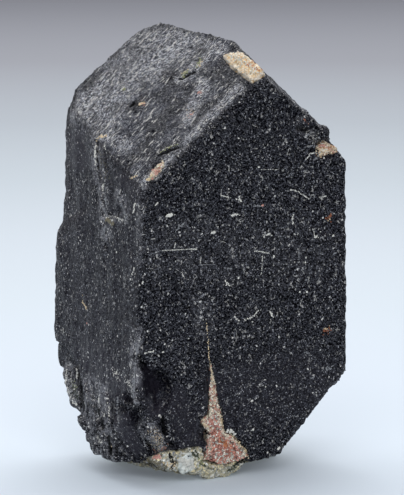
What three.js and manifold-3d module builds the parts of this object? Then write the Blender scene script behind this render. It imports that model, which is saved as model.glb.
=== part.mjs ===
// A columbite crystal standing on a remnant of its pegmatite matrix, 62.5 mm tall.
// One stout black crystal with a broad front face, a narrower left face and a steep roof of
// pyramid faces, broken off below. Feldspar and quartz fill its cracks, ridge and foot.
// Millimetres. X runs along the broad face, Y runs into the crystal, Z is up. The origin is on
// the resting plane, under the middle of the crystal.

import * as THREE from 'three';
import { ConvexGeometry } from 'three/addons/geometries/ConvexGeometry.js';
import { ImprovedNoise } from 'three/addons/math/ImprovedNoise.js';
import { mergeVertices } from 'three/addons/utils/BufferGeometryUtils.js';
import Module from 'manifold-3d';

// The prism: a front and a back face square to Y, a left and a right face that spread downwards.
const FRONT_Y = -12.9;
const BACK_Y = 13.1;
const LEFT_X = -15.6;
const RIGHT_X = 17.0;
const SHOULDER_Z = 42;
const LEFT_SPREAD = 0.037;
const RIGHT_SPREAD = 0.012;

// The roof: two pyramid faces meet in a ridge that climbs from front to back.
const RIDGE_X = 3.3;
const RIDGE_FRONT_Z = 56.6;
const LEFT_ROOF_PITCH = 0.775;
const RIGHT_ROOF_PITCH = 0.84;
const LEFT_ROOF_CLIMB = 0.36;
const RIGHT_ROOF_CLIMB = 0.476;
const CAP_AT = [0.25, 10, 62.5];
const CAP_FALL = 0.4;

// The foot: the fracture that ends the crystal, and the matrix crust between it and the table.
const FOOT_Z = 2.25;
const CRUST_HEIGHT = 3.4;
const CRUST_FLARE = 1.3;

// Broken rock: how far apart its ledges lie, how many one swing of the noise crosses, and how
// much of its height they take over from the noise.
const LEDGE_SPACING = 9;
const LEDGES_PER_SWING = 3;
const LEDGE_SHARE = 0.55;

// A struck flake: how uneven its hollow is, and how quickly that changes across it.
const FLAKE_UNEVENNESS = 0.22;
const FLAKE_GRAIN = 1.7;

// Air kept between two pieces that touch, and how far a sharp tip may be moved to leave it.
const GAP = 0.3;
const FARTHEST_SHIFT = 0.8;
const GAP_PASSES = 8;

// The size of the blocks that cut the crystal, and how near two corners are one.
const REACH = 130;
const WELD = 1e-4;

const UP = new THREE.Vector3(0, 0, 1);
const grain = new ImprovedNoise();
const wasm = await Module();
wasm.setup();

const leftX = (z) => LEFT_X - LEFT_SPREAD * (SHOULDER_Z - z);
const rightX = (z) => RIGHT_X + RIGHT_SPREAD * (SHOULDER_Z - z);
const leftRoofZ = (x, y) =>
  RIDGE_FRONT_Z + LEFT_ROOF_PITCH * (x - RIDGE_X) + LEFT_ROOF_CLIMB * (y - FRONT_Y);
const rightRoofZ = (x, y) =>
  RIDGE_FRONT_Z - RIGHT_ROOF_PITCH * (x - RIDGE_X) + RIGHT_ROOF_CLIMB * (y - FRONT_Y);

// Solids and meshes

function solidOf(geometry) {
  const bare = geometry.clone();
  bare.deleteAttribute('normal');
  bare.deleteAttribute('uv');
  const welded = mergeVertices(bare, WELD);
  return new wasm.Manifold(new wasm.Mesh({
    numProp: 3,
    vertProperties: new Float32Array(welded.attributes.position.array),
    triVerts: new Uint32Array(welded.index.array),
  }));
}

function geometryOf(solid) {
  const { vertProperties, triVerts } = solid.getMesh();
  const geometry = new THREE.BufferGeometry();
  geometry.setAttribute('position', new THREE.BufferAttribute(vertProperties, 3));
  geometry.setIndex(new THREE.BufferAttribute(triVerts, 1));
  geometry.computeVertexNormals();
  return geometry;
}

function moveVertices(geometry, move) {
  const position = geometry.attributes.position;
  const point = new THREE.Vector3();
  for (let i = 0; i < position.count; i++) {
    point.fromBufferAttribute(position, i);
    move(point, i);
    position.setXYZ(i, point.x, point.y, point.z);
  }
  return geometry;
}

// The unit normals of the faces around each vertex of an indexed geometry.
function normalsByVertex(geometry) {
  const { index, attributes: { position } } = geometry;
  const normals = Array.from({ length: position.count }, () => []);
  const triangle = new THREE.Triangle();
  for (let i = 0; i < index.count; i += 3) {
    const corners = [index.getX(i), index.getX(i + 1), index.getX(i + 2)];
    triangle.setFromAttributeAndIndices(position, ...corners);
    const normal = triangle.getNormal(new THREE.Vector3());
    corners.forEach((corner) => normals[corner].push(normal));
  }
  return normals;
}

// The room that a piece needs inside its host: every corner moves out until each face around it
// has moved by the gap, or the corner has gone as far as a sharp tip may.
function roomFor(solid) {
  const geometry = geometryOf(solid);
  const normals = normalsByVertex(geometry);
  moveVertices(geometry, (point, i) => {
    const shift = new THREE.Vector3();
    for (let pass = 0; pass < GAP_PASSES; pass++) {
      for (const normal of normals[i]) {
        shift.addScaledVector(normal, Math.max(0, GAP - shift.dot(normal)));
      }
    }
    point.add(shift.clampLength(0, FARTHEST_SHIFT));
  });
  return solidOf(geometry);
}

const hull = (points) => solidOf(new ConvexGeometry(points.map((p) => new THREE.Vector3(...p))));

const joined = (solids) => solids.reduce((whole, solid) => whole.add(solid));

const without = (host, cuts) => cuts.reduce((solid, cut) => solid.subtract(cut), host);

// Cuts that cross can leave crumbs loose beside a piece. Only the piece itself is kept.
const largest = (solid) => solid.decompose().reduce((a, b) => (b.volume() > a.volume() ? b : a));

// Broken rock steps down in ledges: noise, drawn halfway to a few flat levels.
function fracture(x, y, seed) {
  const [u, v] = [x / LEDGE_SPACING, y / LEDGE_SPACING];
  const swing = grain.noise(u, v, seed) + 0.5 * grain.noise(2.3 * u, 2.3 * v, seed + 7.5);
  const level = Math.round(swing * LEDGES_PER_SWING) / LEDGES_PER_SWING;
  return THREE.MathUtils.lerp(swing, level, LEDGE_SHARE);
}

// Everything beyond a plane, which is what cleaving or breaking along it takes away.
// A break has a relief: the width of its facets, how deep they go, and a seed.
function beyond({ at, out, relief = null }) {
  const cells = relief ? Math.round(REACH / relief.facet) : 1;
  const block = new THREE.BoxGeometry(REACH, REACH, REACH, cells, cells, 1);
  block.translate(0, 0, REACH / 2);
  if (relief) {
    moveVertices(block, (point) => {
      const onFoot = point.z < WELD;
      if (onFoot) point.z = relief.depth * fracture(point.x, point.y, relief.seed);
    });
  }
  const outward = new THREE.Vector3(...out).normalize();
  block.applyQuaternion(new THREE.Quaternion().setFromUnitVectors(UP, outward));
  block.translate(...at);
  return solidOf(block);
}

// A growth step: the part of a face beyond the first plane, as far as the other planes let it.
const step = (face, ...limits) =>
  limits.reduce((cut, limit) => cut.intersect(beyond(limit)), beyond(face));

// A flake struck from a face or an edge leaves a shallow hollow of a few facets.
function flake(at, radii, turn = 0, facets = 1) {
  const ball = new THREE.IcosahedronGeometry(1, facets);
  moveVertices(ball, (point) => {
    const [u, v, w] = point.toArray().map((along, axis) => at[axis] + FLAKE_GRAIN * along);
    point.multiplyScalar(1 + FLAKE_UNEVENNESS * grain.noise(u, v, w));
  });
  ball.scale(...radii);
  ball.rotateY(THREE.MathUtils.degToRad(turn));
  ball.translate(...at);
  return solidOf(ball);
}

// Nicks along a worn edge, uneven in their spacing and size. Each is struck from outside.
function nicks({ from, to, outward, count, size, seed }) {
  const start = new THREE.Vector3(...from);
  const end = new THREE.Vector3(...to);
  const away = new THREE.Vector3(...outward).normalize();
  const standOff = 0.62;
  const cuts = [];
  for (let i = 0; i < count; i++) {
    const drift = grain.noise(3.7 * i + 0.5, seed, 0.3);
    const swing = grain.noise(2.9 * i + 0.4, seed, 5.1);
    const radius = size * (0.8 + 1.1 * Math.abs(swing));
    const at = start.clone().lerp(end, (i + 0.5 + 0.6 * drift) / count);
    at.addScaledVector(away, standOff * radius);
    cuts.push(flake(at.toArray(), [radius, radius, radius * (1.5 + drift)], 60 * swing, 0));
  }
  return cuts;
}

// Upright furrows in the left face. Each widens and deepens from a point at its top to its foot.
function furrow({ y, top, width, depth, foot = -2, lean = 0 }) {
  const outer = 1.2;
  const deepest = 0.65;
  const deepZ = THREE.MathUtils.lerp(foot, top, deepest);
  const deepY = y + deepest * lean;
  const topY = y + lean;
  return hull([
    [leftX(top) - outer, topY, top + 0.6], [leftX(top) + 0.05, topY, top],
    [leftX(foot) - outer, y - width / 2, foot], [leftX(foot) - outer, y + width / 2, foot],
    [leftX(foot), y - width / 2, foot], [leftX(foot), y + width / 2, foot],
    [leftX(deepZ), deepY - width / 2, deepZ], [leftX(deepZ), deepY + width / 2, deepZ],
    [leftX(deepZ) + depth, deepY + 0.15 * width, deepZ], [leftX(foot) + depth, y, foot],
  ]);
}

// Hollows in the front face: an outline in X and Z, sunk to a smaller floor.
function hollow(outline, depth, floorAt, floorScale = 0.5) {
  const mouth = outline.map(([x, z]) => [x, FRONT_Y - 1, z]);
  const rim = outline.map(([x, z]) => [x, FRONT_Y + 0.15, z]);
  const floor = outline.map(([x, z]) => [
    floorAt[0] + floorScale * (x - floorAt[0]), FRONT_Y + depth, floorAt[1] + floorScale * (z - floorAt[1]),
  ]);
  return hull([...mouth, ...rim, ...floor]);
}

// The crystal

function prismAndRoof() {
  const block = new THREE.BoxGeometry(REACH / 2, REACH / 2, REACH / 2 + FOOT_Z);
  block.translate(0, 0, REACH / 4);
  const faces = [
    { at: [0, FRONT_Y, SHOULDER_Z], out: [0, -1, 0] },
    { at: [0, BACK_Y, SHOULDER_Z], out: [0, 1, 0] },
    { at: [LEFT_X, 0, SHOULDER_Z], out: [-1, 0, LEFT_SPREAD] },
    { at: [RIGHT_X, 0, SHOULDER_Z], out: [1, 0, RIGHT_SPREAD] },
    { at: [RIDGE_X, FRONT_Y, RIDGE_FRONT_Z], out: [-LEFT_ROOF_PITCH, -LEFT_ROOF_CLIMB, 1] },
    { at: [RIDGE_X, FRONT_Y, RIDGE_FRONT_Z], out: [RIGHT_ROOF_PITCH, -RIGHT_ROOF_CLIMB, 1] },
    { at: CAP_AT, out: [CAP_FALL, 0, 1] },
    // Steep facets that trim the roof's back corners, left and right.
    { at: [-16.1, 3.8, 48.1], out: [-1.71, 0.1, 1] },
    { at: [3.9, -2.1, 61.1], out: [1.45, 0.3, 1] },
    { at: [2, BACK_Y, 60.6], out: [0.1, 1, 1.2] },
  ];
  return without(solidOf(block), faces.map(beyond));
}

// The fractures below: the foot itself, the slopes at the lower right and the back left, the
// facet that cuts off the front edge, the broken corner at the back right, and the chipped length
// of the back left edge.
function breaks() {
  return [
    { at: [0, 0, FOOT_Z], out: [-0.03, 0, -1], relief: { facet: 2.2, depth: 0.6, seed: 3.1 } },
    { at: [11.2, FRONT_Y, 7.4], out: [0.95, 0.12, -1], relief: { facet: 2, depth: 1.1, seed: 8.4 } },
    { at: [leftX(7), 4, 7.2], out: [-0.45, 0.86, -1], relief: { facet: 2, depth: 1.1, seed: 5.6 } },
    { at: [-17, FRONT_Y, 13], out: [-0.82, -0.39, -0.42], relief: { facet: 2.6, depth: 0.5, seed: 2.2 } },
    { at: [14.5, 12, 8], out: [0.5, 1, -0.7], relief: { facet: 2.2, depth: 1.2, seed: 6.7 } },
    { at: [-16.4, BACK_Y - 0.7, 18], out: [-1, 0.8, -0.1], relief: { facet: 2.6, depth: 0.5, seed: 4.9 } },
  ].map(beyond);
}

// Growth steps and worn bevels. Each takes what lies beyond its first plane, within the others.
function growthSteps() {
  return [
    // The upper left face stands back behind its groove and ends below in a ledge.
    step(
      { at: [leftX(44), 1.5, 44], out: [-1, 0.1, LEFT_SPREAD] },
      { at: [leftX(36), 9, 34.2], out: [-1, 0.2, 0.5] },
    ),
    // The tilted flake at the lower left.
    step(
      { at: [leftX(9), 0, 9], out: [-1, 0, 0.16] },
      { at: [0, 4.3, 0], out: [0, 1, 0] },
      { at: [0, 0, 13.7], out: [0, 0.3, -1] },
    ),
    // Low plates on the back, the right and the left roof.
    step(
      { at: [0, BACK_Y - 0.9, 20], out: [0, 1, 0] },
      { at: [-4.5, 0, 30], out: [1, 0, 0.12] },
      { at: [0, 0, 50], out: [-0.5, 0, -1] },
      { at: [0, 0, 22], out: [0.25, 0, 1] },
    ),
    step(
      { at: [0, BACK_Y - 1.7, 20], out: [0, 1, 0] },
      { at: [6.5, 0, 30], out: [1, 0, -0.1] },
      { at: [0, 0, 46], out: [0.4, 0, -1] },
      { at: [0, 0, 31], out: [-0.3, 0, 1] },
    ),
    step(
      { at: [rightX(40) - 0.7, 0, 40], out: [1, 0, 0.02] },
      { at: [0, 3, 0], out: [0, 1, 0.06] },
      { at: [0, 0, 19], out: [0, -0.4, 1] },
    ),
    step(
      { at: [-3, 0, leftRoofZ(-3, 0) - 0.25], out: [-LEFT_ROOF_PITCH, -LEFT_ROOF_CLIMB, 1] },
      { at: [-1.6, -3, 57], out: [1, -0.25, 0] },
      { at: [-1, -8, 57], out: [0.5, 1, 0] },
    ),
    // The bevel where the left roof meets the front face, and the steeper falls to the shoulder.
    beyond({ at: [-9, FRONT_Y, leftRoofZ(-9, FRONT_Y) - 0.75], out: [-LEFT_ROOF_PITCH, -1.1, 1] }),
    beyond({ at: [11.1, FRONT_Y, 50.1], out: [1, -RIGHT_ROOF_CLIMB, 1] }),
    beyond({ at: [16.4, FRONT_Y, 44.3], out: [1.2, -RIGHT_ROOF_CLIMB, 1] }),
  ];
}

// The left face: a groove beside the step, a fork of two short cuts, and splinters at its foot.
function leftFaceFurrows() {
  const groove = hull([
    [leftX(49) - 1, 1.7, 50], [leftX(49) - 1, -2.6, 50], [leftX(49) + 0.6, 1.3, 50],
    [leftX(38) - 1, 1.3, 38], [leftX(38) - 1, -2.5, 38], [leftX(38) + 0.5, 0.9, 38],
    [leftX(34) - 0.5, -1.9, 34],
  ]);
  const fork = hull([
    [leftX(41) - 0.6, -5.4, 41], [leftX(41) - 0.6, -6.6, 41], [leftX(40.6) + 0.3, -6, 40.6],
    [leftX(37.4) - 0.4, -9, 37.4],
  ]);
  const splinters = [
    { y: 3.7, top: 14, foot: 7.4, width: 0.9, depth: 1.5 },
    { y: 6.6, top: 19, width: 0.8, depth: 0.5 },
    { y: 0.6, top: 8.2, width: 1.2, depth: 0.9 },
    { y: -3.4, top: 10.8, width: 1.5, depth: 1.4, lean: 2.4 },
    { y: -6.1, top: 7.4, width: 1.4, depth: 1.5, lean: 1 },
    { y: -6.6, top: 13.4, foot: 5, width: 1.5, depth: 0.6 },
    { y: -8.2, top: 6.2, width: 0.9, depth: 0.7 },
  ].map(furrow);
  return [groove, fork, ...splinters];
}

// The deep pit beside the front edge, with its black mouth above and its steep wall on the
// right, the undercut left of it, the slots below it, and smaller hollows on the other faces.
function pits() {
  const undercut = hull([
    [-18, -13.6, 12.4], [-14.2, -13.6, 8.8], [-18, -8.7, 12.2], [-18, -9.2, 8.4], [-15.9, -12.2, 11],
    [-16.1, -10.2, 11.2], [-15.2, -11.9, 9.4], [-17.4, -12.6, 6.6],
  ]);
  return [
    undercut,
    hollow([[-16.3, 18.8], [-15.1, 18.7], [-14.5, 17.3], [-15.5, 16], [-16.3, 16.6]], 1.7, [-15.3, 17.4]),
    hollow([
      [-15.9, 17.4], [-12.9, 16.9], [-11.2, 15.7], [-11.1, 13.2], [-12, 11.3], [-13.8, 10.4], [-15.6, 12.6],
    ], 2.2, [-12.2, 14.1], 0.42),
    hollow([[-12.4, 16.4], [-9.6, 14.4], [-11.2, 13.8]], 0.8, [-11.5, 14.9]),
    hollow([[-12.9, 9.9], [-12.1, 9.4], [-12, 7.3], [-12.8, 7.5]], 0.9, [-12.4, 8.4]),
    hollow([[-15, 8], [-14.5, 7.8], [-13.5, 5.6], [-13.9, 5.4]], 0.7, [-14.2, 6.6]),
    hollow([[-6.6, 7.4], [-5.2, 7.4], [-5.2, 5.2], [-6.5, 5.6]], 1.2, [-5.8, 6.3]),
    flake([-9.5, 1.5, leftRoofZ(-9.5, 1.5)], [0.6, 0.45, 0.7], 40, 0),
    flake([-2.2, -2.1, leftRoofZ(-2.2, -2.1)], [1.1, 0.3, 0.5], -38, 0),
    flake([-10.2, -11.2, leftRoofZ(-10.2, -11.2)], [1.5, 0.3, 0.4], -38, 0),
    flake([6.1, FRONT_Y - 0.5, 52.5], [1.9, 0.9, 1.2], 40),
    flake([8.4, FRONT_Y - 0.4, 51], [1.5, 0.8, 1.3], 50),
    flake([4.6, FRONT_Y - 0.5, 54.6], [1.2, 0.8, 0.9], 20),
    // The open hollow under the right shoulder, with the tan feldspar at its lower end.
    flake([10.3, FRONT_Y - 0.1, 48.9], [0.9, 1, 1.1], 10),
    flake([12.3, FRONT_Y + 0.1, 47.4], [1.9, 1.3, 1.2], 40),
    flake([15.2, FRONT_Y + 0.4, 46.9], [1.4, 2.2, 1.6], 30),
    // Scars on the faces that look away from the pit.
    flake([rightX(28) + 0.3, -5, 27], [1, 2.2, 3.6], 12, 0),
    flake([rightX(24) + 0.2, -3.4, 24], [0.9, 1.5, 2.2], -20, 0),
    flake([rightX(36) + 0.3, 7, 37], [1.1, 2.4, 1.7], 25, 0),
    flake([leftX(38.5) + 0.4, 12.6, 38.6], [1.1, 1.4, 1], 0),
    flake([leftX(8) + 0.2, 5.4, 7.4], [1.3, 1.5, 1.1], 0),
    flake([-6, BACK_Y + 0.4, 38], [3.4, 1.1, 1.8], 35, 0),
    flake([-8.6, BACK_Y + 0.4, 35.6], [1.6, 1, 2.6], 20, 0),
    flake([3, BACK_Y - 0.4, 18], [2.4, 1.1, 3.4], 30, 0),
    flake([5.4, BACK_Y - 0.5, 15.4], [2, 1.2, 1.8], -15, 0),
  ];
}

function wornEdges() {
  const crest = [RIDGE_X, FRONT_Y, RIDGE_FRONT_Z];
  const corner = [LEFT_X, FRONT_Y, SHOULDER_Z];
  const [frontLeft, frontRight] = [[-1, -1, 0], [1, -1, 0]];
  const [backLeft, backRight] = [[-1, 1, 0], [1, 1, 0]];
  const backRidge = [-2, BACK_Y, leftRoofZ(-2, BACK_Y)];
  const backEave = [-11, BACK_Y, leftRoofZ(-11, BACK_Y)];
  const edgeAt = (side, y, z) => [side(z), y, z];
  return [
    { from: corner, to: edgeAt(leftX, FRONT_Y, 19), outward: frontLeft, count: 8, size: 0.8, seed: 1.3 },
    { from: corner, to: crest, outward: [-0.5, -1, 1], count: 8, size: 0.9, seed: 2.4 },
    { from: crest, to: [11, FRONT_Y, 50], outward: [0.5, -1, 1], count: 5, size: 0.8, seed: 3.5 },
    {
      from: edgeAt(rightX, FRONT_Y, 43), to: edgeAt(rightX, FRONT_Y, 15),
      outward: frontRight, count: 8, size: 0.8, seed: 4.6,
    },
    { from: [LEFT_X, 3, 47.6], to: corner, outward: [-1, 0, 0.8], count: 5, size: 0.8, seed: 5.7 },
    {
      from: edgeAt(leftX, BACK_Y, 33), to: edgeAt(leftX, BACK_Y, 21),
      outward: backLeft, count: 4, size: 1.1, seed: 6.8,
    },
    {
      from: edgeAt(rightX, BACK_Y, 42), to: edgeAt(rightX, BACK_Y, 18),
      outward: backRight, count: 6, size: 1.3, seed: 7.9,
    },
    { from: backEave, to: backRidge, outward: [-0.5, 1, 1], count: 5, size: 0.9, seed: 9.1 },
    { from: [13, FRONT_Y, 10], to: [6, FRONT_Y, 3], outward: [1, -1, -1], count: 5, size: 0.8, seed: 2.9 },
  ].flatMap(nicks);
}

// Feldspar, quartz and matrix, each with its own room in the crystal

// The pink wedge fills a crack that opens downwards from a hairline in the front face.
function pinkWedge() {
  const depth = 3.4;
  const outline = new THREE.Shape([
    [-4.95, 17.4], [-5.15, 14.3], [-5.15, 10.7], [-5.2, 9.2], [-6.2, 9.0], [-6.45, 8.2], [-5.6, 7.5],
    [-5.15, 6.8], [-5.4, 4.5], [-6.0, 3.0], [-2.6, 1.9], [1.3, 2.7], [0.5, 3.9], [-0.9, 5.6], [-2.6, 6.4],
    [-3.0, 8.2], [-3.3, 10.6], [-3.8, 12.3], [-4.1, 14.3], [-4.6, 15.9],
  ].map(([x, z]) => new THREE.Vector2(x, z)));
  const wedge = new THREE.ExtrudeGeometry(outline, { depth, steps: 3, bevelEnabled: false });
  wedge.rotateX(Math.PI / 2);
  wedge.translate(0, FRONT_Y + depth, 0);
  moveVertices(wedge, (point) => {
    const inward = (point.y - FRONT_Y) / depth;
    point.y += 0.35 * grain.noise(0.8 * point.x, 0.8 * point.z, 4.2) * (1 - inward);
    point.x += 0.25 * grain.noise(point.y, 0.7 * point.z, 1.1) * inward;
  });
  return solidOf(wedge);
}

// Sugary cream feldspar that sits astride the ridge at its front end and stands a little proud.
function ridgePatch() {
  const proud = 0.7;
  const top = [
    [1.85, -4.2], [1.8, -8.4], [2.0, -12.5], [2.6, -5.0], [3.2, -6.6],
    [3.8, -8.4], [4.2, -10.4], [4.0, -12.3], [3.3, -12.7],
  ];
  const sunk = [[2.1, -5.4], [2.2, -11.8], [3.3, -7.8], [3.8, -11.8]];
  const roof = (x, y) => Math.min(leftRoofZ(x, y), rightRoofZ(x, y));
  const lift = (x) => (Math.abs(x - RIDGE_X) < 0.5 ? proud : 0.25 * proud);
  return hull([
    ...top.map(([x, y]) => [x, y, roof(x, y) + lift(x)]),
    ...sunk.map(([x, y]) => [x, y, roof(x, y) - 1.2]),
  ]);
}

// Tan feldspar in the hollow of the right shoulder.
const shoulderGrain = () => hull([
  [12.2, -12.7, 44.7], [12.3, -12.6, 46.2], [13.6, -12.5, 46.8], [15.6, -12.5, 45.8], [15.9, -12.4, 45.0],
  [13.9, -13.0, 45.4], [12.8, -10.6, 44.8], [15.4, -10.4, 45.0], [14.1, -10.6, 46.9],
]);

// A thin pinkish streak of feldspar in the bevel between the left roof and the front face.
const edgeStreak = () => hull([
  [-14.6, -12.3, 42.9], [-14.2, -12.7, 42.8], [-12.3, -12.1, 44.9], [-11.6, -11.6, 45.6],
  [-12.0, -12.6, 44.6], [-13.2, -11.6, 44.4], [-13.2, -11.9, 43.2], [-12.2, -11.6, 44.2],
]);

const quartzGrain = () => hull([
  [-9.9, -12.5, 2.6], [-9.5, -12.7, 3.9], [-8.1, -12.8, 4.2], [-7.4, -12.6, 3.2], [-7.7, -12.5, 1.6],
  [-9.2, -12.4, 1.4], [-9.7, -9.8, 3.6], [-7.8, -9.6, 3.6], [-8.6, -9.8, 1.8],
]);

// The crust: a flat-bottomed plate of albite and mica that flares up to the crystal's foot,
// with an apron that climbs the front face left of the wedge.
function crust() {
  const outline = new THREE.Shape([
    [-4.3, -11.0], [-1.6, -10.6], [0.6, -7.6], [3.2, -5.2], [7.2, -3.6],
    [10.2, -2.2], [11.4, 1.6], [10.2, 6.6], [6.0, 9.6], [-0.6, 10.4],
    [-7.2, 8.8], [-9.4, 5.2], [-8.8, 0.2], [-6.6, -4.0], [-5.4, -8.4],
  ].map(([x, y]) => new THREE.Vector2(x, y)));
  const plate = new THREE.ExtrudeGeometry(outline, {
    depth: CRUST_HEIGHT - CRUST_FLARE,
    steps: 2,
    bevelThickness: CRUST_FLARE,
    bevelSize: CRUST_FLARE,
    bevelSegments: 2,
  });
  plate.translate(0, 0, CRUST_FLARE);
  moveVertices(plate, (point) => {
    if (point.z < WELD) return;
    const swell = 0.9 * grain.noise(0.45 * point.x, 0.45 * point.y, 0.6 * point.z);
    point.x += swell;
    point.y += 0.8 * swell;
  });
  const apron = hull([
    [-13.8, -12.6, 3.4], [-12.6, -12.8, 4.7], [-10.4, -12.9, 4.5], [-6.6, -12.9, 4.8],
    [-5.9, -12.7, 2.6], [-4.4, -12.6, 1.0], [-8.2, -12.2, 1.3], [-11.6, -12.2, 2.1],
    [-12.6, -8.2, 3.4], [-6.4, -8, 4.4], [-5, -8, 1],
  ]);
  const lip = hull([
    [-6.2, -12.5, 0.9], [-5.6, -12.8, 1.9], [-2.4, -12.9, 1.7], [1.2, -12.3, 1.9], [0.8, -10.6, 0.7],
    [-5.4, -9, 0.3], [-0.6, -9, 0.3], [-4.2, -12.2, 0.2], [-2, -12.1, 0.2], [1.6, -9, 2.2], [-5, -9, 2.4],
  ]);
  return joined([solidOf(plate), apron, lip]);
}

// Assembly. Each filling takes its room from the crystal, and the crust yields to all of them.

const wedge = pinkWedge();
const patch = ridgePatch();
const shoulder = shoulderGrain();
const streak = edgeStreak();
const quartz = quartzGrain();
const roughCrust = crust();

const cuts = [...breaks(), ...growthSteps(), ...leftFaceFurrows(), ...pits(), ...wornEdges()];
const rooms = [wedge, patch, shoulder, streak, quartz, roughCrust].map(roomFor);
const crystal = largest(without(prismAndRoof(), [...cuts, ...rooms]));
const matrix = largest(without(roughCrust, [wedge, quartz].map(roomFor)));

const rock = (color, roughness, metalness = 0) =>
  new THREE.MeshStandardMaterial({ color, roughness, metalness, flatShading: true });
const BLACK = rock(0x26262b, 0.5, 0.15);
const PINK = rock(0xb5806f, 0.75);
const CREAM = rock(0xdcc49c, 0.8);
const TAN = rock(0xc5a583, 0.8);
const WHITE = rock(0xd5d6d2, 0.35);
const GREY = rock(0xa59c86, 0.85);

function pieceOf(name, solid, material) {
  const mesh = new THREE.Mesh(geometryOf(solid), material);
  mesh.name = name;
  return mesh;
}

const specimen = new THREE.Group();
specimen.add(
  pieceOf('columbite_crystal', crystal, BLACK),
  pieceOf('pink_feldspar_wedge', wedge, PINK),
  pieceOf('cream_feldspar_patch', patch, CREAM),
  pieceOf('tan_feldspar_grain', shoulder, TAN),
  pieceOf('pink_feldspar_streak', streak, PINK),
  pieceOf('white_quartz_grain', quartz, WHITE),
  pieceOf('matrix_crust', matrix, GREY),
);

export default specimen;
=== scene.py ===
"""A black columbite crystal on a remnant of its matrix, in soft studio light.

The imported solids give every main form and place. This script gives each of them its real surface:
the crystal's striated, pitted and broken faces, the sugary feldspar and quartz in its cracks, the
crumbly matrix under its foot, and the pale grains and hairlines that are scattered over it.
Sizes are in millimetres unless a name says otherwise, and meshes are in metres.
"""

from __future__ import annotations

import logging
import math
import random
from dataclasses import dataclass, field
from enum import Enum
from functools import cached_property
from typing import Iterator, Sequence

import bmesh
import bpy
from mathutils import Matrix, Quaternion, Vector, noise
from mathutils.bvhtree import BVHTree
from mathutils.kdtree import KDTree


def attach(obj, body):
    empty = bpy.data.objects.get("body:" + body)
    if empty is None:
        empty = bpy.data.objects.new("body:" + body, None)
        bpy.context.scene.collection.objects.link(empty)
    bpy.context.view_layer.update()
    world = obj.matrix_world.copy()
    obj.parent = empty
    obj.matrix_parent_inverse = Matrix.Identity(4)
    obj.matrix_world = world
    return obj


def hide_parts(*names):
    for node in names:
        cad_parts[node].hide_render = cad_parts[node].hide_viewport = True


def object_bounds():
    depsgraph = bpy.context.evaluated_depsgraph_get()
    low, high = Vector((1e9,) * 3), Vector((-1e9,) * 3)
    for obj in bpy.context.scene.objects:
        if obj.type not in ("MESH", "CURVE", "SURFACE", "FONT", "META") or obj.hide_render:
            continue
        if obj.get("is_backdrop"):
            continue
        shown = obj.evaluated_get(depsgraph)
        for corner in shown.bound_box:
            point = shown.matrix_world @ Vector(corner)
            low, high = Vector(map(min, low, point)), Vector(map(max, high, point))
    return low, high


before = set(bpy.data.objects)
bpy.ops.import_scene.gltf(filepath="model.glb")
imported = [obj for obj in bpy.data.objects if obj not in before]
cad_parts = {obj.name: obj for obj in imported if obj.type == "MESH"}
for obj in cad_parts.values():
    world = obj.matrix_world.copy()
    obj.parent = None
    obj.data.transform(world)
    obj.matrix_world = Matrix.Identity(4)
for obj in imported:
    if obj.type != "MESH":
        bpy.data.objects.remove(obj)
CAD_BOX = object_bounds()

LOG = logging.getLogger("columbite")
MM = 0.001
BODY = "root"
CRYSTAL_NODE = "columbite_crystal"
FRONT_Y = -12.9
LEFT_X = -15.6
LEFT_SPREAD = 0.037
FRONT_EDGE_TOP = 42.0
ROOF_CLIMB = 0.36
GAP = 0.3
FACE_SPAN = (0.84, 0.96)
EDGE_SHARE = 0.35

Socket = bpy.types.NodeSocket
Pixel = tuple[float, float]
Colour = tuple[float, float, float, float]


def tone(red: float, green: float, blue: float) -> Colour:
    """Turns a colour as a screen shows it into the renderer's linear values.

    Args:
        red: Red, 0 to 255.
        green: Green, 0 to 255.
        blue: Blue, 0 to 255.

    Returns:
        The linear colour with full alpha.
    """
    def straighten(value: float) -> float:
        """Undoes the screen's curve for one channel."""
        part = value / 255
        return part / 12.92 if part <= 0.04045 else ((part + 0.055) / 1.055) ** 2.4

    return (straighten(red), straighten(green), straighten(blue), 1.0)


def smooth(low: float, high: float, value: float) -> float:
    """Eases from 0 at low to 1 at high; low may be the larger one."""
    along = min(1.0, max(0.0, (value - low) / (high - low)))
    return along * along * (3 - 2 * along)


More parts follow.
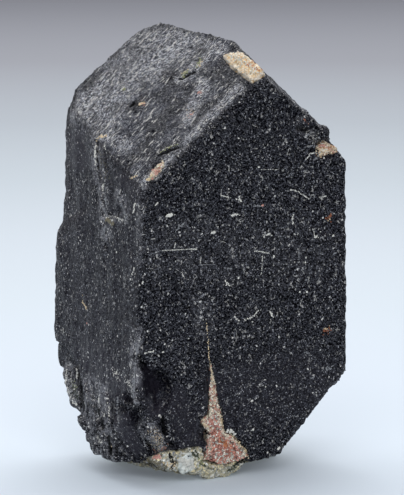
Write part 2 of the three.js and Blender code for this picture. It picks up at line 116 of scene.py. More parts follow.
class Graph:
    """A material's node tree, with a short call for each kind of node that the finishes use."""

    def __init__(self, name: str) -> None:
        """Starts an empty material.

        Args:
            name: The material's name.
        """
        self.material = bpy.data.materials.new(name)
        self.material.use_nodes = True
        self.tree = self.material.node_tree
        self.tree.nodes.clear()
        self.place = self.add("ShaderNodeTexCoord").outputs["Object"]

    def add(self, kind: str, **settings: object) -> bpy.types.Node:
        """Adds a node and sets its own properties."""
        node = self.tree.nodes.new(kind)
        for key, value in settings.items():
            setattr(node, key, value)
        return node

    def feed(self, socket: Socket, value: object) -> None:
        """Links a socket to another one, or sets its value."""
        if isinstance(value, Socket):
            self.tree.links.new(value, socket)
        else:
            socket.default_value = value

    def attribute(self, name: str) -> Socket:
        """Reads a number that the mesh holds at each vertex."""
        return self.add("ShaderNodeAttribute", attribute_name=name).outputs["Fac"]

    def stretched(self, scale: Sequence[float], turn: Sequence[float] = (0, 0, 0)) -> Socket:
        """Gives Object coordinates, turned and then stretched.

        Args:
            scale: How much finer than its surroundings the pattern is along X, Y and Z.
            turn: The turn about X, Y and Z, in degrees.

        Returns:
            The changed coordinates.
        """
        turned = self.add("ShaderNodeMapping", vector_type="TEXTURE")
        self.feed(turned.inputs["Vector"], self.place)
        turned.inputs["Rotation"].default_value = [math.radians(angle) for angle in turn]
        sized = self.add("ShaderNodeMapping")
        self.feed(sized.inputs["Vector"], turned.outputs["Vector"])
        sized.inputs["Scale"].default_value = scale
        return sized.outputs["Vector"]

    def clouds(
        self, grain: float, detail: float = 3, rough: float = 0.55, at: Socket | None = None
    ) -> Socket:
        """Gives noise whose swings are about a grain wide, in millimetres."""
        node = self.add("ShaderNodeTexNoise")
        self.feed(node.inputs["Vector"], at or self.place)
        node.inputs["Scale"].default_value = 1 / (grain * MM)
        node.inputs["Detail"].default_value = detail
        node.inputs["Roughness"].default_value = rough
        return node.outputs["Fac"]

    def cells(
        self, grain: float, at: Socket | None = None, feature: str = "F1"
    ) -> bpy.types.Node:
        """Gives the node of a pattern of cells about a grain wide, in millimetres."""
        node = self.add("ShaderNodeTexVoronoi", feature=feature)
        self.feed(node.inputs["Vector"], at or self.place)
        node.inputs["Scale"].default_value = 1 / (grain * MM)
        return node

    def facets(self, grain: float, at: Socket | None = None) -> Socket:
        """Gives the height, in metres, of small flat facets that each lean their own way.

        Args:
            grain: How wide a facet is, in millimetres.
            at: The coordinates, if they aren't the plain Object ones.

        Returns:
            The height, steep enough for leans of up to about 40 degrees.
        """
        cells = self.cells(grain, at)
        across = self.add("ShaderNodeVectorMath", operation="SUBTRACT")
        self.feed(across.inputs[0], at or self.place)
        self.feed(across.inputs[1], cells.outputs["Position"])
        lean = self.add("ShaderNodeVectorMath", operation="SUBTRACT")
        self.feed(lean.inputs[0], cells.outputs["Color"])
        lean.inputs[1].default_value = (0.5, 0.5, 0.5)
        rise = self.add("ShaderNodeVectorMath", operation="DOT_PRODUCT")
        self.feed(rise.inputs[0], across.outputs[0])
        self.feed(rise.inputs[1], lean.outputs[0])
        return rise.outputs["Value"]

    def math(self, how: str, first: object, second: object = 0.0, third: object = None) -> Socket:
        """Adds one sum."""
        node = self.add("ShaderNodeMath", operation=how)
        self.feed(node.inputs[0], first)
        self.feed(node.inputs[1], second)
        if third is not None:
            self.feed(node.inputs[2], third)
        return node.outputs[0]

    def total(self, *terms: tuple[object, object]) -> Socket:
        """Adds up products.

        Args:
            terms: Pairs, each of a value and its weight.

        Returns:
            The sum of the products.
        """
        so_far = self.math("MULTIPLY", *terms[0])
        for value, weight in terms[1:]:
            so_far = self.math("MULTIPLY_ADD", value, weight, so_far)
        return so_far

    def span(
        self, value: object, low: object, high: object, to_low: float = 0, to_high: float = 1
    ) -> Socket:
        """Maps a stretch of values onto another one, smoothly and clamped."""
        node = self.add("ShaderNodeMapRange", interpolation_type="SMOOTHSTEP")
        for socket, given in zip(node.inputs, (value, low, high, to_low, to_high)):
            self.feed(socket, given)
        return node.outputs[0]

    def channel(self, colour: Socket, index: int) -> Socket:
        """Takes one channel out of a colour."""
        parts = self.add("ShaderNodeSeparateColor")
        self.feed(parts.inputs[0], colour)
        return parts.outputs[index]

    def blend(self, factor: object, first: object, second: object) -> Socket:
        """Mixes two colours."""
        node = self.add("ShaderNodeMix", data_type="RGBA")
        self.feed(node.inputs[0], factor)
        self.feed(node.inputs[6], first)
        self.feed(node.inputs[7], second)
        return node.outputs[2]

    def ramp(
        self, value: object, stops: Sequence[tuple[float, Colour]], stepped: bool = False
    ) -> Socket:
        """Gives a row of colours by value."""
        node = self.add("ShaderNodeValToRGB")
        node.color_ramp.interpolation = "CONSTANT" if stepped else "LINEAR"
        while len(node.color_ramp.elements) < len(stops):
            node.color_ramp.elements.new(0.5)
        for element, (place, colour) in zip(node.color_ramp.elements, stops):
            element.position = place
            element.color = colour
        self.feed(node.inputs[0], value)
        return node.outputs[0]

    def dress(
        self, colour: object, roughness: object, height: object = None, bump: float = 1.0, **others: object
    ) -> bpy.types.Material:
        """Ends the graph in one Principled shader.

        Args:
            colour: The base colour.
            roughness: The roughness.
            height: The bump's height in metres, if there is one.
            bump: What the height is multiplied by.
            others: What the shader's other sockets get, with underscores for spaces.

        Returns:
            The finished material.
        """
        shader = self.add("ShaderNodeBsdfPrincipled")
        self.feed(shader.inputs["Base Color"], colour)
        self.feed(shader.inputs["Roughness"], roughness)
        for name, value in others.items():
            self.feed(shader.inputs[name.replace("_", " ")], value)
        if height is not None:
            relief = self.add("ShaderNodeBump")
            relief.inputs["Strength"].default_value = 1.0
            relief.inputs["Distance"].default_value = bump
            self.feed(relief.inputs["Height"], height)
            self.feed(shader.inputs["Normal"], relief.outputs["Normal"])
        self.feed(self.add("ShaderNodeOutputMaterial").inputs["Surface"], shader.outputs[0])
        return self.material


@dataclass(frozen=True)
class ColumbiteFinish:
    """Black, finely granular, dull to submetallic, with pale dust in its pits, painted shade in its hollows
    and a painted sheen with painted glints on its roof.
    """

    # pit is the darkest grain tone, and also the colour of the painted shade in the hollows
    pit: Colour = tone(4, 4, 7)
    black: Colour = tone(17, 17, 24)
    slate: Colour = tone(46, 47, 58)
    # the brightest grain tone, which stands for painted glints
    grey: Colour = tone(98, 99, 110)
    fleck: Colour = tone(206, 207, 214)
    # the lighter bluish grey of the roof's painted sheen
    painted_sheen_grey: Colour = tone(62, 66, 81)
    # the colour of the painted glints in the roof's strokes
    painted_glint: Colour = tone(244, 247, 255)
    dust: Colour = tone(232, 230, 226)
    ash: Colour = tone(160, 160, 166)
    plum: Colour = tone(33, 29, 40)
    coarse: float = 0.5
    fine: float = 0.16
    speck: float = 0.2
    scale: float = 0.3
    dash: float = 0.22
    powder_grain: float = 0.9
    drift_grain: float = 3.4
    drawn_out: tuple[float, float, float] = (0.24, 1, 1)
    striae_turn: tuple[float, float, float] = (0, -33, -20)
    steep_turn: tuple[float, float, float] = (0, -40, 11)
    leftward_metres: tuple[float, float] = (-0.004, -0.010)
    stroke_scale: float = 8500.0
    stroke_span: tuple[float, float] = (0.545, 0.59)
    shine_stops: tuple[float, ...] = (0.42, 0.51, 0.6, 0.72)
    mirror_span: tuple[float, float] = (0.44, 0.64)
    mirror_top: float = 0.55
    even_mirror: float = 0.22
    side_evenness: float = 0.4
    calm_softening: float = 0.75
    # painted shade in the hollows: how far it dims the specks and the mirror, and how far it darkens toward
    # pit
    painted_shade_dimming: float = 0.75
    painted_hollow_shade: float = 0.42
    bump: float = 1.6
    ior: float = 1.75

    def relief(self, g: Graph, roof: Socket, side: Socket) -> Socket:
        """Makes the height of the facets: even on the front, drawn out on the roof and softer on the sides.

        Args:
            g: The material's graph.
            roof: How far a place belongs to the roof.
            side: How far a place belongs to a side face.

        Returns:
            The height in metres.
        """
        granular = g.total((g.facets(self.coarse), 0.25), (g.facets(self.fine), 1.1))
        large, small = g.facets(self.coarse, self.striae(g)), g.facets(self.fine, self.steep(g))
        scaly = g.total((large, 0.12), (small, 1.0))
        fibrous = g.facets(self.coarse, g.stretched((1, 1, 0.4)))
        share = g.math("SUBTRACT", g.math("MULTIPLY_ADD", roof, -0.3, 1.0), g.math("MULTIPLY", side, 0.3))
        return g.total((granular, share), (scaly, roof), (fibrous, g.math("MULTIPLY", side, 0.3)))

    def striae(self, g: Graph) -> Socket:
        """Gives coordinates that draw a pattern out along the right roof's striae."""
        return g.stretched(self.drawn_out, turn=self.striae_turn)

    def steep(self, g: Graph) -> Socket:
        """Gives coordinates that draw a pattern out along the steeper striae of the roof's left part."""
        return g.stretched(self.drawn_out, turn=self.steep_turn)

    def strokes(self, g: Graph, at: Socket) -> Socket:
        """Gives fine bright strokes along the striae, which carry the roof's painted glints.

        Args:
            g: The material's graph.
            at: Coordinates that are drawn out along them.

        Returns:
            How far a place belongs to a stroke.
        """
        lines = g.add("ShaderNodeTexNoise")
        g.feed(lines.inputs["Vector"], at)
        settings = {"Scale": self.stroke_scale, "Detail": 2.5, "Roughness": 0.75, "Distortion": 0.4}
        for name, value in settings.items():
            lines.inputs[name].default_value = value
        return g.span(lines.outputs["Fac"], *self.stroke_span)

    def specks(
        self, g: Graph, grain: float, few: object, reach: object, at: Socket | None = None
    ) -> Socket:
        """Chooses some of the cells of a pattern and gives a ragged spot in each.

        Args:
            g: The material's graph.
            grain: How wide a cell is.
            few: From 0 to 1, how few of the cells are chosen.
            reach: How far the spot reaches from the cell's middle, in cells.
            at: The coordinates, if they aren't the plain Object ones.

        Returns:
            How far a place belongs to a spot.
        """
        cells = g.cells(grain, at)
        uneven = g.span(g.clouds(0.16, detail=2), 0.3, 0.7, -0.2, 0.2)
        ragged = g.math("ADD", cells.outputs["Distance"], uneven)
        near = g.math("SUBTRACT", 1.0, g.span(ragged, g.math("MULTIPLY", reach, 0.75), reach))
        chosen = g.span(g.channel(cells.outputs["Color"], 2), few, g.math("ADD", few, 0.03))
        return g.math("MULTIPLY", near, chosen)

    def threads(self, g: Graph, grain: float, thin: float, few: float) -> Socket:
        """Gives short, thin, winding threads, as films in hairline cracks make them.

        Args:
            g: The material's graph.
            grain: How wide the bends are.
            thin: Half the threads' width, in swings of the noise.
            few: From 0 to 1, how much of the surface holds none.

        Returns:
            How far a place belongs to a thread.
        """
        aside = g.math("ABSOLUTE", g.math("SUBTRACT", g.clouds(grain, detail=2), 0.5))
        line = g.span(aside, thin, 2 * thin, 1, 0)
        return g.math("MULTIPLY", line, g.span(g.clouds(0.8 * grain, detail=1, rough=0.3), few, few + 0.05))

    def ground(self, g: Graph, at: CrystalPlaces) -> Socket:
        """Makes the black ground: granular, with its brightest grains as painted glints, evener on calm
        places, powdered with ash on dusty ones.

        Args:
            g: The material's graph.
            at: What the mesh says of a place.

        Returns:
            The ground's colour, before the roof's sheen.
        """
        # The grey top of the ramp stands for painted glints on grains; the lower stops are the grains' own
        # tones.
        shades = (self.pit, self.black, self.slate, self.grey)
        body = g.ramp(at.shine, list(zip(self.shine_stops, shades)))
        body = g.blend(g.math("MULTIPLY", at.evened, 0.8), body, self.plum)
        powder = g.span(g.clouds(self.powder_grain, detail=3), 0.4, 0.62, 0.03, 0.7)
        powder = g.math("MULTIPLY", at.dusty, powder)
        powder = g.math("MULTIPLY", powder, g.span(at.grit, 0.42, 0.58, 0.3, 1.0))
        return g.blend(powder, body, self.ash)

    def sheen(self, g: Graph, at: CrystalPlaces, body: Socket) -> Socket:
        """Lays the roof's painted sheen over the ground: a lighter bluish grey, and bright strokes of painted
        glints.

        Args:
            g: The material's graph.
            at: What the mesh says of a place.
            body: The ground's colour.

        Returns:
            The colour with its sheen.
        """
        # Painted sheen: the roof is made a lighter bluish grey, more in some patches.
        body = g.blend(g.math("MULTIPLY", at.roof, g.span(at.drift, 0.0, 1.0, 0.08, 0.5)), body, self.painted_sheen_grey)
        # Painted glints: bright strokes, brighter where the bands and the drift are high.
        brightness = g.span(g.total((at.dusty, 0.7), (at.drift, 0.4)), 0.1, 0.85, 0.12, 1.0)
        painted_glint_share = g.math("MULTIPLY", at.roof, brightness)
        leftward = g.span(g.channel(g.place, 0), *self.leftward_metres)
        strokes = g.blend(leftward, self.strokes(g, self.striae(g)), self.strokes(g, self.steep(g)))
        return g.blend(g.math("MULTIPLY", painted_glint_share, strokes), body, self.painted_glint)

    def pale(self, g: Graph, at: CrystalPlaces, many: Socket) -> Socket:
        """Chooses where dust fills pits and hairlines: specks, scales on the roof, dashes on the sides.

        Args:
            g: The material's graph.
            at: What the mesh says of a place.
            many: How much more of it a place holds than another.

        Returns:
            How far a place belongs to the dust.
        """
        large = self.specks(
            g, self.coarse, g.math("SUBTRACT", 0.965, many), g.span(at.drift, 0, 1, 0.16, 0.32)
        )
        scales = self.specks(g, self.scale, g.math("SUBTRACT", 0.86, many), 0.42, at=self.steep(g))
        dashes = self.specks(
            g, self.dash, g.math("SUBTRACT", 0.92, many), 0.4, at=g.stretched((1, 1, 0.5))
        )
        for drawn, share in ((scales, at.roof), (dashes, at.side)):
            large = g.math("MAXIMUM", large, g.math("MULTIPLY", drawn, g.math("MULTIPLY", share, 0.75)))
        threads = g.math("MAXIMUM", self.threads(g, 1.1, 0.015, 0.63), self.threads(g, 0.5, 0.03, 0.66))
        threads = g.math("MULTIPLY", threads, g.total((at.dusty, 0.5), (at.evened, -0.3), (1.0, 0.45)))
        return g.math("MAXIMUM", large, threads)

    def material(self) -> bpy.types.Material:
        """Makes the crystal's material, which reads the zones that its mesh holds."""
        g = Graph("columbite")
        at = CrystalPlaces(g, self)
        body = self.sheen(g, at, self.ground(g, at))
        # Painted shade: the hollows, deep in the front pit and along the pressed-in strokes, are darkened
        # toward pit, and their specks and mirror are dimmed.
        body = g.blend(g.math("MULTIPLY", at.hollow, self.painted_hollow_shade), body, self.pit)
        outside_painted_shade = g.math("MULTIPLY_ADD", at.hollow, -self.painted_shade_dimming, 1.0)
        many = g.total((at.dusty, 0.16), (at.drift, 0.05), (at.evened, -0.03))
        small = self.specks(g, self.speck, g.math("SUBTRACT", 0.9, many), 0.4)
        pale = self.pale(g, at, many)
        colour = g.blend(g.math("MULTIPLY", small, g.math("MULTIPLY", outside_painted_shade, 0.6)), body, self.fleck)
        colour = g.blend(g.math("MULTIPLY", pale, g.math("MULTIPLY", outside_painted_shade, 0.95)), colour, self.dust)

        rough = g.math("MULTIPLY_ADD", pale, 0.25, g.span(at.grit, 0.3, 0.7, 0.34, 0.54))
        mirror = g.span(at.shine, *self.mirror_span, 0.0, self.mirror_top)
        mirror = g.blend(at.evened, mirror, (self.even_mirror,) * 3 + (1.0,))
        mirror = g.math("MULTIPLY", mirror, outside_painted_shade)
        lively = g.math("MULTIPLY_ADD", at.calm, -self.calm_softening, 1.0)
        height = g.math("MULTIPLY", self.relief(g, at.roof, at.side), lively)
        return g.dress(colour, rough, height, self.bump, IOR=self.ior, Specular_IOR_Level=mirror)


class CrystalPlaces:
    """What the crystal's mesh says of a place, and the patterns that all of its finish shares."""

    # hollow holds the painted shade of the front pit and the pressed-in strokes.
    NAMES = ("roof", "side", "hollow", "dusty", "calm")

    def __init__(self, g: Graph, finish: ColumbiteFinish) -> None:
        """Reads the mesh's numbers and makes the shared patterns.

        Args:
            g: The material's graph.
            finish: The finish that sets how wide the patterns are.
        """
        # dusty holds dust, and on the roof it also sets how bright the painted glints are.
        self.roof, self.side, self.hollow, self.dusty, self.calm = (g.attribute(name) for name in self.NAMES)
        self.evened = g.math("MAXIMUM", self.calm, g.math("MULTIPLY", self.side, finish.side_evenness))
        self.drift = g.span(g.clouds(finish.drift_grain, detail=3, rough=0.6), 0.36, 0.66)
        self.grit = g.clouds(finish.fine, detail=4, rough=0.75)
        lot = g.channel(g.cells(finish.fine).outputs["Color"], 0)
        self.shine = g.total((lot, 0.2), (self.grit, 0.8))


@dataclass(frozen=True)
class SugaryFinish:
    """Feldspar in small grains: each grain has its own shade, paler next to the crystal."""

    name: str
    shades: tuple[Colour, ...]
    rim: Colour
    joint: Colour
    grain: float = 0.24
    bump: float = 1.8
    cracked: float = 0.95

    def material(self) -> bpy.types.Material:
        """Makes the grains from cells, with dark joints and the rim's own colour."""
        g = Graph(self.name)
        cells = g.cells(self.grain)
        lot = g.channel(cells.outputs["Color"], 1)
        drift = g.clouds(2.0, detail=2)
        order = g.math("FRACT", g.total((lot, 0.55), (drift, 0.9)))
        stops = [(index / len(self.shades), shade) for index, shade in enumerate(self.shades)]
        colour = g.ramp(order, stops, stepped=True)
        fine = g.clouds(0.16, detail=3, rough=0.7)
        other_lot = g.span(g.channel(cells.outputs["Color"], 0), 0.25, 0.45)
        edging = g.math("MULTIPLY", g.attribute("rim"), other_lot)
        colour = g.blend(edging, colour, self.rim)
        crack = g.cells(self.grain, feature="DISTANCE_TO_EDGE").outputs["Distance"]
        dark = g.math("MULTIPLY", g.span(crack, 0.0, 0.2, 1, 0), g.span(fine, 0.4, 0.56))
        colour = g.blend(g.math("MULTIPLY", dark, self.cracked), colour, self.joint)
        height = g.total((g.facets(self.grain), 1.2), (g.facets(0.5), 1.0))
        return g.dress(colour, g.span(fine, 0.3, 0.7, 0.4, 0.75), height, self.bump, IOR=1.52)


@dataclass(frozen=True)
class QuartzFinish:
    """Milky quartz: white, a little see-through at its edges, glassy on its broken faces."""

    milk: Colour = tone(244, 247, 242)
    grey: Colour = tone(196, 202, 194)

    def material(self) -> bpy.types.Material:
        """Makes the milky body with cloudy veils."""
        g = Graph("milky quartz")
        veil = g.clouds(0.9, detail=4)
        colour = g.ramp(veil, [(0.3, self.grey), (0.62, self.milk)])
        return g.dress(colour, g.span(veil, 0.3, 0.7, 0.3, 0.5), g.facets(0.5), IOR=1.54)


class Shade(Enum):
    """The colours of the small grains and films on the crystal, and of its chips of painted shade and painted
    glints, in the order of their ramp.
    """

    BLACK = tone(10, 10, 12)
    SLATE = tone(40, 41, 48)
    GREY = tone(128, 130, 134)
    WHITE = tone(214, 213, 206)
    CREAM = tone(214, 194, 160)
    PINK = tone(200, 148, 136)
    TAN = tone(186, 168, 142)
    RUST = tone(134, 80, 54)
    GREEN = tone(150, 154, 118)
    MOSS = tone(66, 72, 58)
    OLIVE = tone(112, 106, 88)
    AMBER = tone(196, 128, 84)

    @property
    def order(self) -> float:
        """The middle of the shade's stretch of the ramp."""
        return (list(Shade).index(self) + 0.5) / len(Shade)


@dataclass(frozen=True)
class GrainAndPaintedChipFinish:
    """The small grains and films that are scattered over the crystal, and its chips of painted shade and
    painted glints.
    """

    def material(self) -> bpy.types.Material:
        """Makes the shades in one stepped ramp, which the chips' own numbers choose from."""
        g = Graph("grains and painted chips")
        stops = [(index / len(Shade), shade.value) for index, shade in enumerate(Shade)]
        colour = g.ramp(g.attribute("shade"), stops, stepped=True)
        colour = g.blend(g.span(g.clouds(0.15, detail=2), 0.5, 0.75, 0, 0.35), colour, Shade.BLACK.value)
        return g.dress(colour, 0.55, IOR=1.5)


@dataclass(frozen=True)
class FloorFinish:
    """Pale paper whose colour turns grey away from the specimen, a painted fall-off of the light, and which
    glows a little, painted light that lifts its shadows.
    """

    painted_falloff: tuple[tuple[float, Colour], ...] = (
        (0.0, tone(208, 218, 228)),
        (0.06, tone(208, 217, 227)),
        (0.13, tone(199, 208, 216)),
        (0.2, tone(191, 199, 207)),
        (0.3, tone(176, 184, 191)),
        (0.43, tone(160, 166, 173)),
        (0.63, tone(146, 148, 155)),
        (1.0, tone(146, 147, 155)),
    )
    far: float = 1.15
    # painted light: the paper's own emission, which brightens it and its shadows
    glow: float = 0.1

    def material(self) -> bpy.types.Material:
        """Makes the paper, its painted fall-off set by the distance from the specimen in metres."""
        g = Graph("paper")
        away = g.add("ShaderNodeVectorMath", operation="LENGTH")
        g.feed(away.inputs[0], g.place)
        paper = g.ramp(g.math("DIVIDE", away.outputs["Value"], self.far), self.painted_falloff)
        return g.dress(
            paper, 0.9, Specular_IOR_Level=0.1, Emission_Color=paper, Emission_Strength=self.glow
        )


class Form(Enum):
    """How a layer of relief rises and falls."""

    ROLLING = "rolling"
    RIDGED = "ridged"
    GRAINY = "grainy"
    LEDGED = "ledged"


@dataclass(frozen=True)
class Layer:
    """One layer of relief: how wide its forms are along three directions, and how high they stand."""

    form: Form
    wide: tuple[float, float, float]
    high: float
    octaves: int = 3
    seed: float = 0.0
    lay: Matrix = field(default_factory=lambda: Matrix.Identity(3))
    loss: float = 0.9
    finer: float = 2.1
    ledge: float = 0.28

    def at(self, point: Vector) -> float:
        """Gives the layer's height at a point.

        Args:
            point: The place, in millimetres.

        Returns:
            The height in millimetres, from about minus high to high.
        """
        local = self.lay @ point
        spot = Vector([local[axis] / self.wide[axis] + self.seed for axis in range(3)])
        if self.form is Form.GRAINY:
            nearest = noise.voronoi(spot)[0]
            return self.high * (1 - 2.4 * nearest[0] ** 2)
        swing = noise.fractal(spot, self.loss, self.finer, self.octaves)
        if self.form is Form.RIDGED:
            return self.high * (0.8 - 2 * abs(swing))
        if self.form is Form.LEDGED:
            ledge = math.floor(swing / self.ledge) * self.ledge
            return self.high * (0.7 * ledge + 0.3 * swing)
        return self.high * swing


def merged_copy(node: str) -> bmesh.types.BMesh:
    """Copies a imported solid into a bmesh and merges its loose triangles.

    Args:
        node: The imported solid's name.

    Returns:
        The closed mesh, in metres.
    """
    solid = bmesh.new()
    solid.from_mesh(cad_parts[node].data)
    bmesh.ops.remove_doubles(solid, verts=solid.verts, dist=1e-6)
    return solid


def packed_surface(node: str) -> BVHTree:
    """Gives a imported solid's surface, for distances to it."""
    solid = merged_copy(node)
    tree = BVHTree.FromBMesh(solid)
    solid.free()
    return tree


def stored(solid: bmesh.types.BMesh, name: str) -> bpy.types.Object:
    """Turns a bmesh into an object in the scene."""
    mesh = bpy.data.meshes.new(name)
    solid.to_mesh(mesh)
    solid.free()
    piece = bpy.data.objects.new(name, mesh)
    bpy.context.scene.collection.objects.link(piece)
    return piece


def remeshed(piece: bpy.types.Object, cell: float) -> bpy.types.Object:
    """Rebuilds a closed mesh from even cells, so that relief can be worked into it.

    Args:
        piece: The object.
        cell: The cells' width.

    Returns:
        The same object with its new mesh.
    """
    remesh = piece.modifiers.new("even cells", "REMESH")
    remesh.mode = "VOXEL"
    remesh.voxel_size = cell * MM
    remesh.use_smooth_shade = True
    bpy.context.view_layer.update()
    evaluated = piece.evaluated_get(bpy.context.evaluated_depsgraph_get())
    even = bpy.data.meshes.new_from_object(evaluated)
    piece.modifiers.clear()
    rough = piece.data
    piece.data = even
    bpy.data.meshes.remove(rough)
    even.name = piece.name
    return piece


def keep(piece: bpy.types.Object, material: bpy.types.Material, slot: str, *nodes: str) -> bpy.types.Object:
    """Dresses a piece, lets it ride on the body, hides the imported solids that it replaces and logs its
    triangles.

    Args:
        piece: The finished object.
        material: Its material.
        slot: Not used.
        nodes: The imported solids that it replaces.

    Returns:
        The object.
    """
    piece.data.materials.clear()
    piece.data.materials.append(material)
    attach(piece, BODY)
    if nodes:
        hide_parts(*nodes)
    triangles = sum(len(face.vertices) - 2 for face in piece.data.polygons)
    LOG.info("%s: %d triangles", piece.name, triangles)
    return piece


@dataclass
class PhotoCamera:
    """The camera that saw the specimen, in the photograph's frame of 404 by 495 pixels."""

    frame_pixels: tuple[int, int] = (404, 495)
    azimuth: float = -29.0
    elevation: float = 8.0
    distance: float = 450.0
    target: Vector = field(default_factory=lambda: Vector((3.2, 4.25, 30.3)))
    per_pixel: float = 0.145
    sensor: float = 36.0

    @cached_property
    def back(self) -> Vector:
        """The direction from the specimen to the camera."""
        turn, rise = math.radians(self.azimuth), math.radians(self.elevation)
        return Vector((math.sin(turn) * math.cos(rise), -math.cos(turn) * math.cos(rise), math.sin(rise)))

    @cached_property
    def place(self) -> Vector:
        """Where the camera stands."""
        return self.target + self.distance * self.back

    @cached_property
    def turn(self) -> Quaternion:
        """The camera's turn, its view along minus Z."""
        return (-self.back).to_track_quat("-Z", "Y")

    @cached_property
    def turn_back(self) -> Quaternion:
        """The turn into the camera's own axes."""
        return self.turn.inverted()

    def make(self) -> bpy.types.Object:
        """Makes the camera and hands it to the scene."""
        data = bpy.data.cameras.new("camera")
        data.lens = self.distance / self.per_pixel / self.frame_pixels[1] * self.sensor
        data.sensor_width = self.sensor
        data.clip_start = 0.01
        data.clip_end = 20
        camera = bpy.data.objects.new("camera", data)
        camera.location = self.place * MM
        camera.rotation_mode = "QUATERNION"
        camera.rotation_quaternion = self.turn
        bpy.context.scene.collection.objects.link(camera)
        bpy.context.scene.camera = camera
        return camera

    def sight(self, pixel: Pixel) -> Vector:
        """Gives the direction in which the camera sees a pixel."""
        across = (pixel[0] - self.frame_pixels[0] / 2) * self.per_pixel
        down = (pixel[1] - self.frame_pixels[1] / 2) * self.per_pixel
        return (self.turn @ Vector((across, -down, -self.distance))).normalized()

    def seen(self, point: Vector) -> Pixel:
        """Gives the pixel at which the camera sees a point, in millimetres."""
        local = self.turn_back @ (point - self.place)
        spread = self.distance / (-local.z * self.per_pixel)
        return (self.frame_pixels[0] / 2 + local.x * spread, self.frame_pixels[1] / 2 - local.y * spread)

    def touch(self, surface: BVHTree, pixel: Pixel) -> tuple[Vector, Vector] | None:
        """Finds where a pixel's line of sight meets a surface.

        Args:
            surface: The surface, in metres.
            pixel: The pixel.

        Returns:
            The place and the surface's normal there, in metres, or None past the outline.
        """
        place, normal, _, _ = surface.ray_cast(self.place * MM, self.sight(pixel))
        return None if place is None else (place, normal)


class Zone(Enum):
    """The crystal's faces, each with the direction it looks in."""

    ROOF_LEFT = (-0.775, -0.36, 1.0)
    ROOF_RIGHT = (0.84, -0.476, 1.0)
    FRONT = (0.0, -1.0, 0.0)
    LEFT = (-1.0, 0.0, 0.037)
    RIGHT = (1.0, 0.0, 0.012)
    BACK = (0.0, 1.0, 0.0)

    def __init__(self, *direction: float) -> None:
        """Keeps the direction at length one."""
        self.direction = Vector(direction).normalized()

    def share(self, normal: Vector) -> float:
        """How far a surface with this normal belongs to the face, from 0 to 1."""
        return smooth(*FACE_SPAN, normal.dot(self.direction))


@dataclass(frozen=True)
class Stroke:
    """A ragged line along which the surface is pressed in, or drawn out where deep is below zero; dark is the
    painted shade laid into it.
    """

    line: tuple[Pixel, ...]
    wide: float
    deep: float
    # how much painted shade the line's hollow gets, from 0 to 1
    dark: float = 1.0


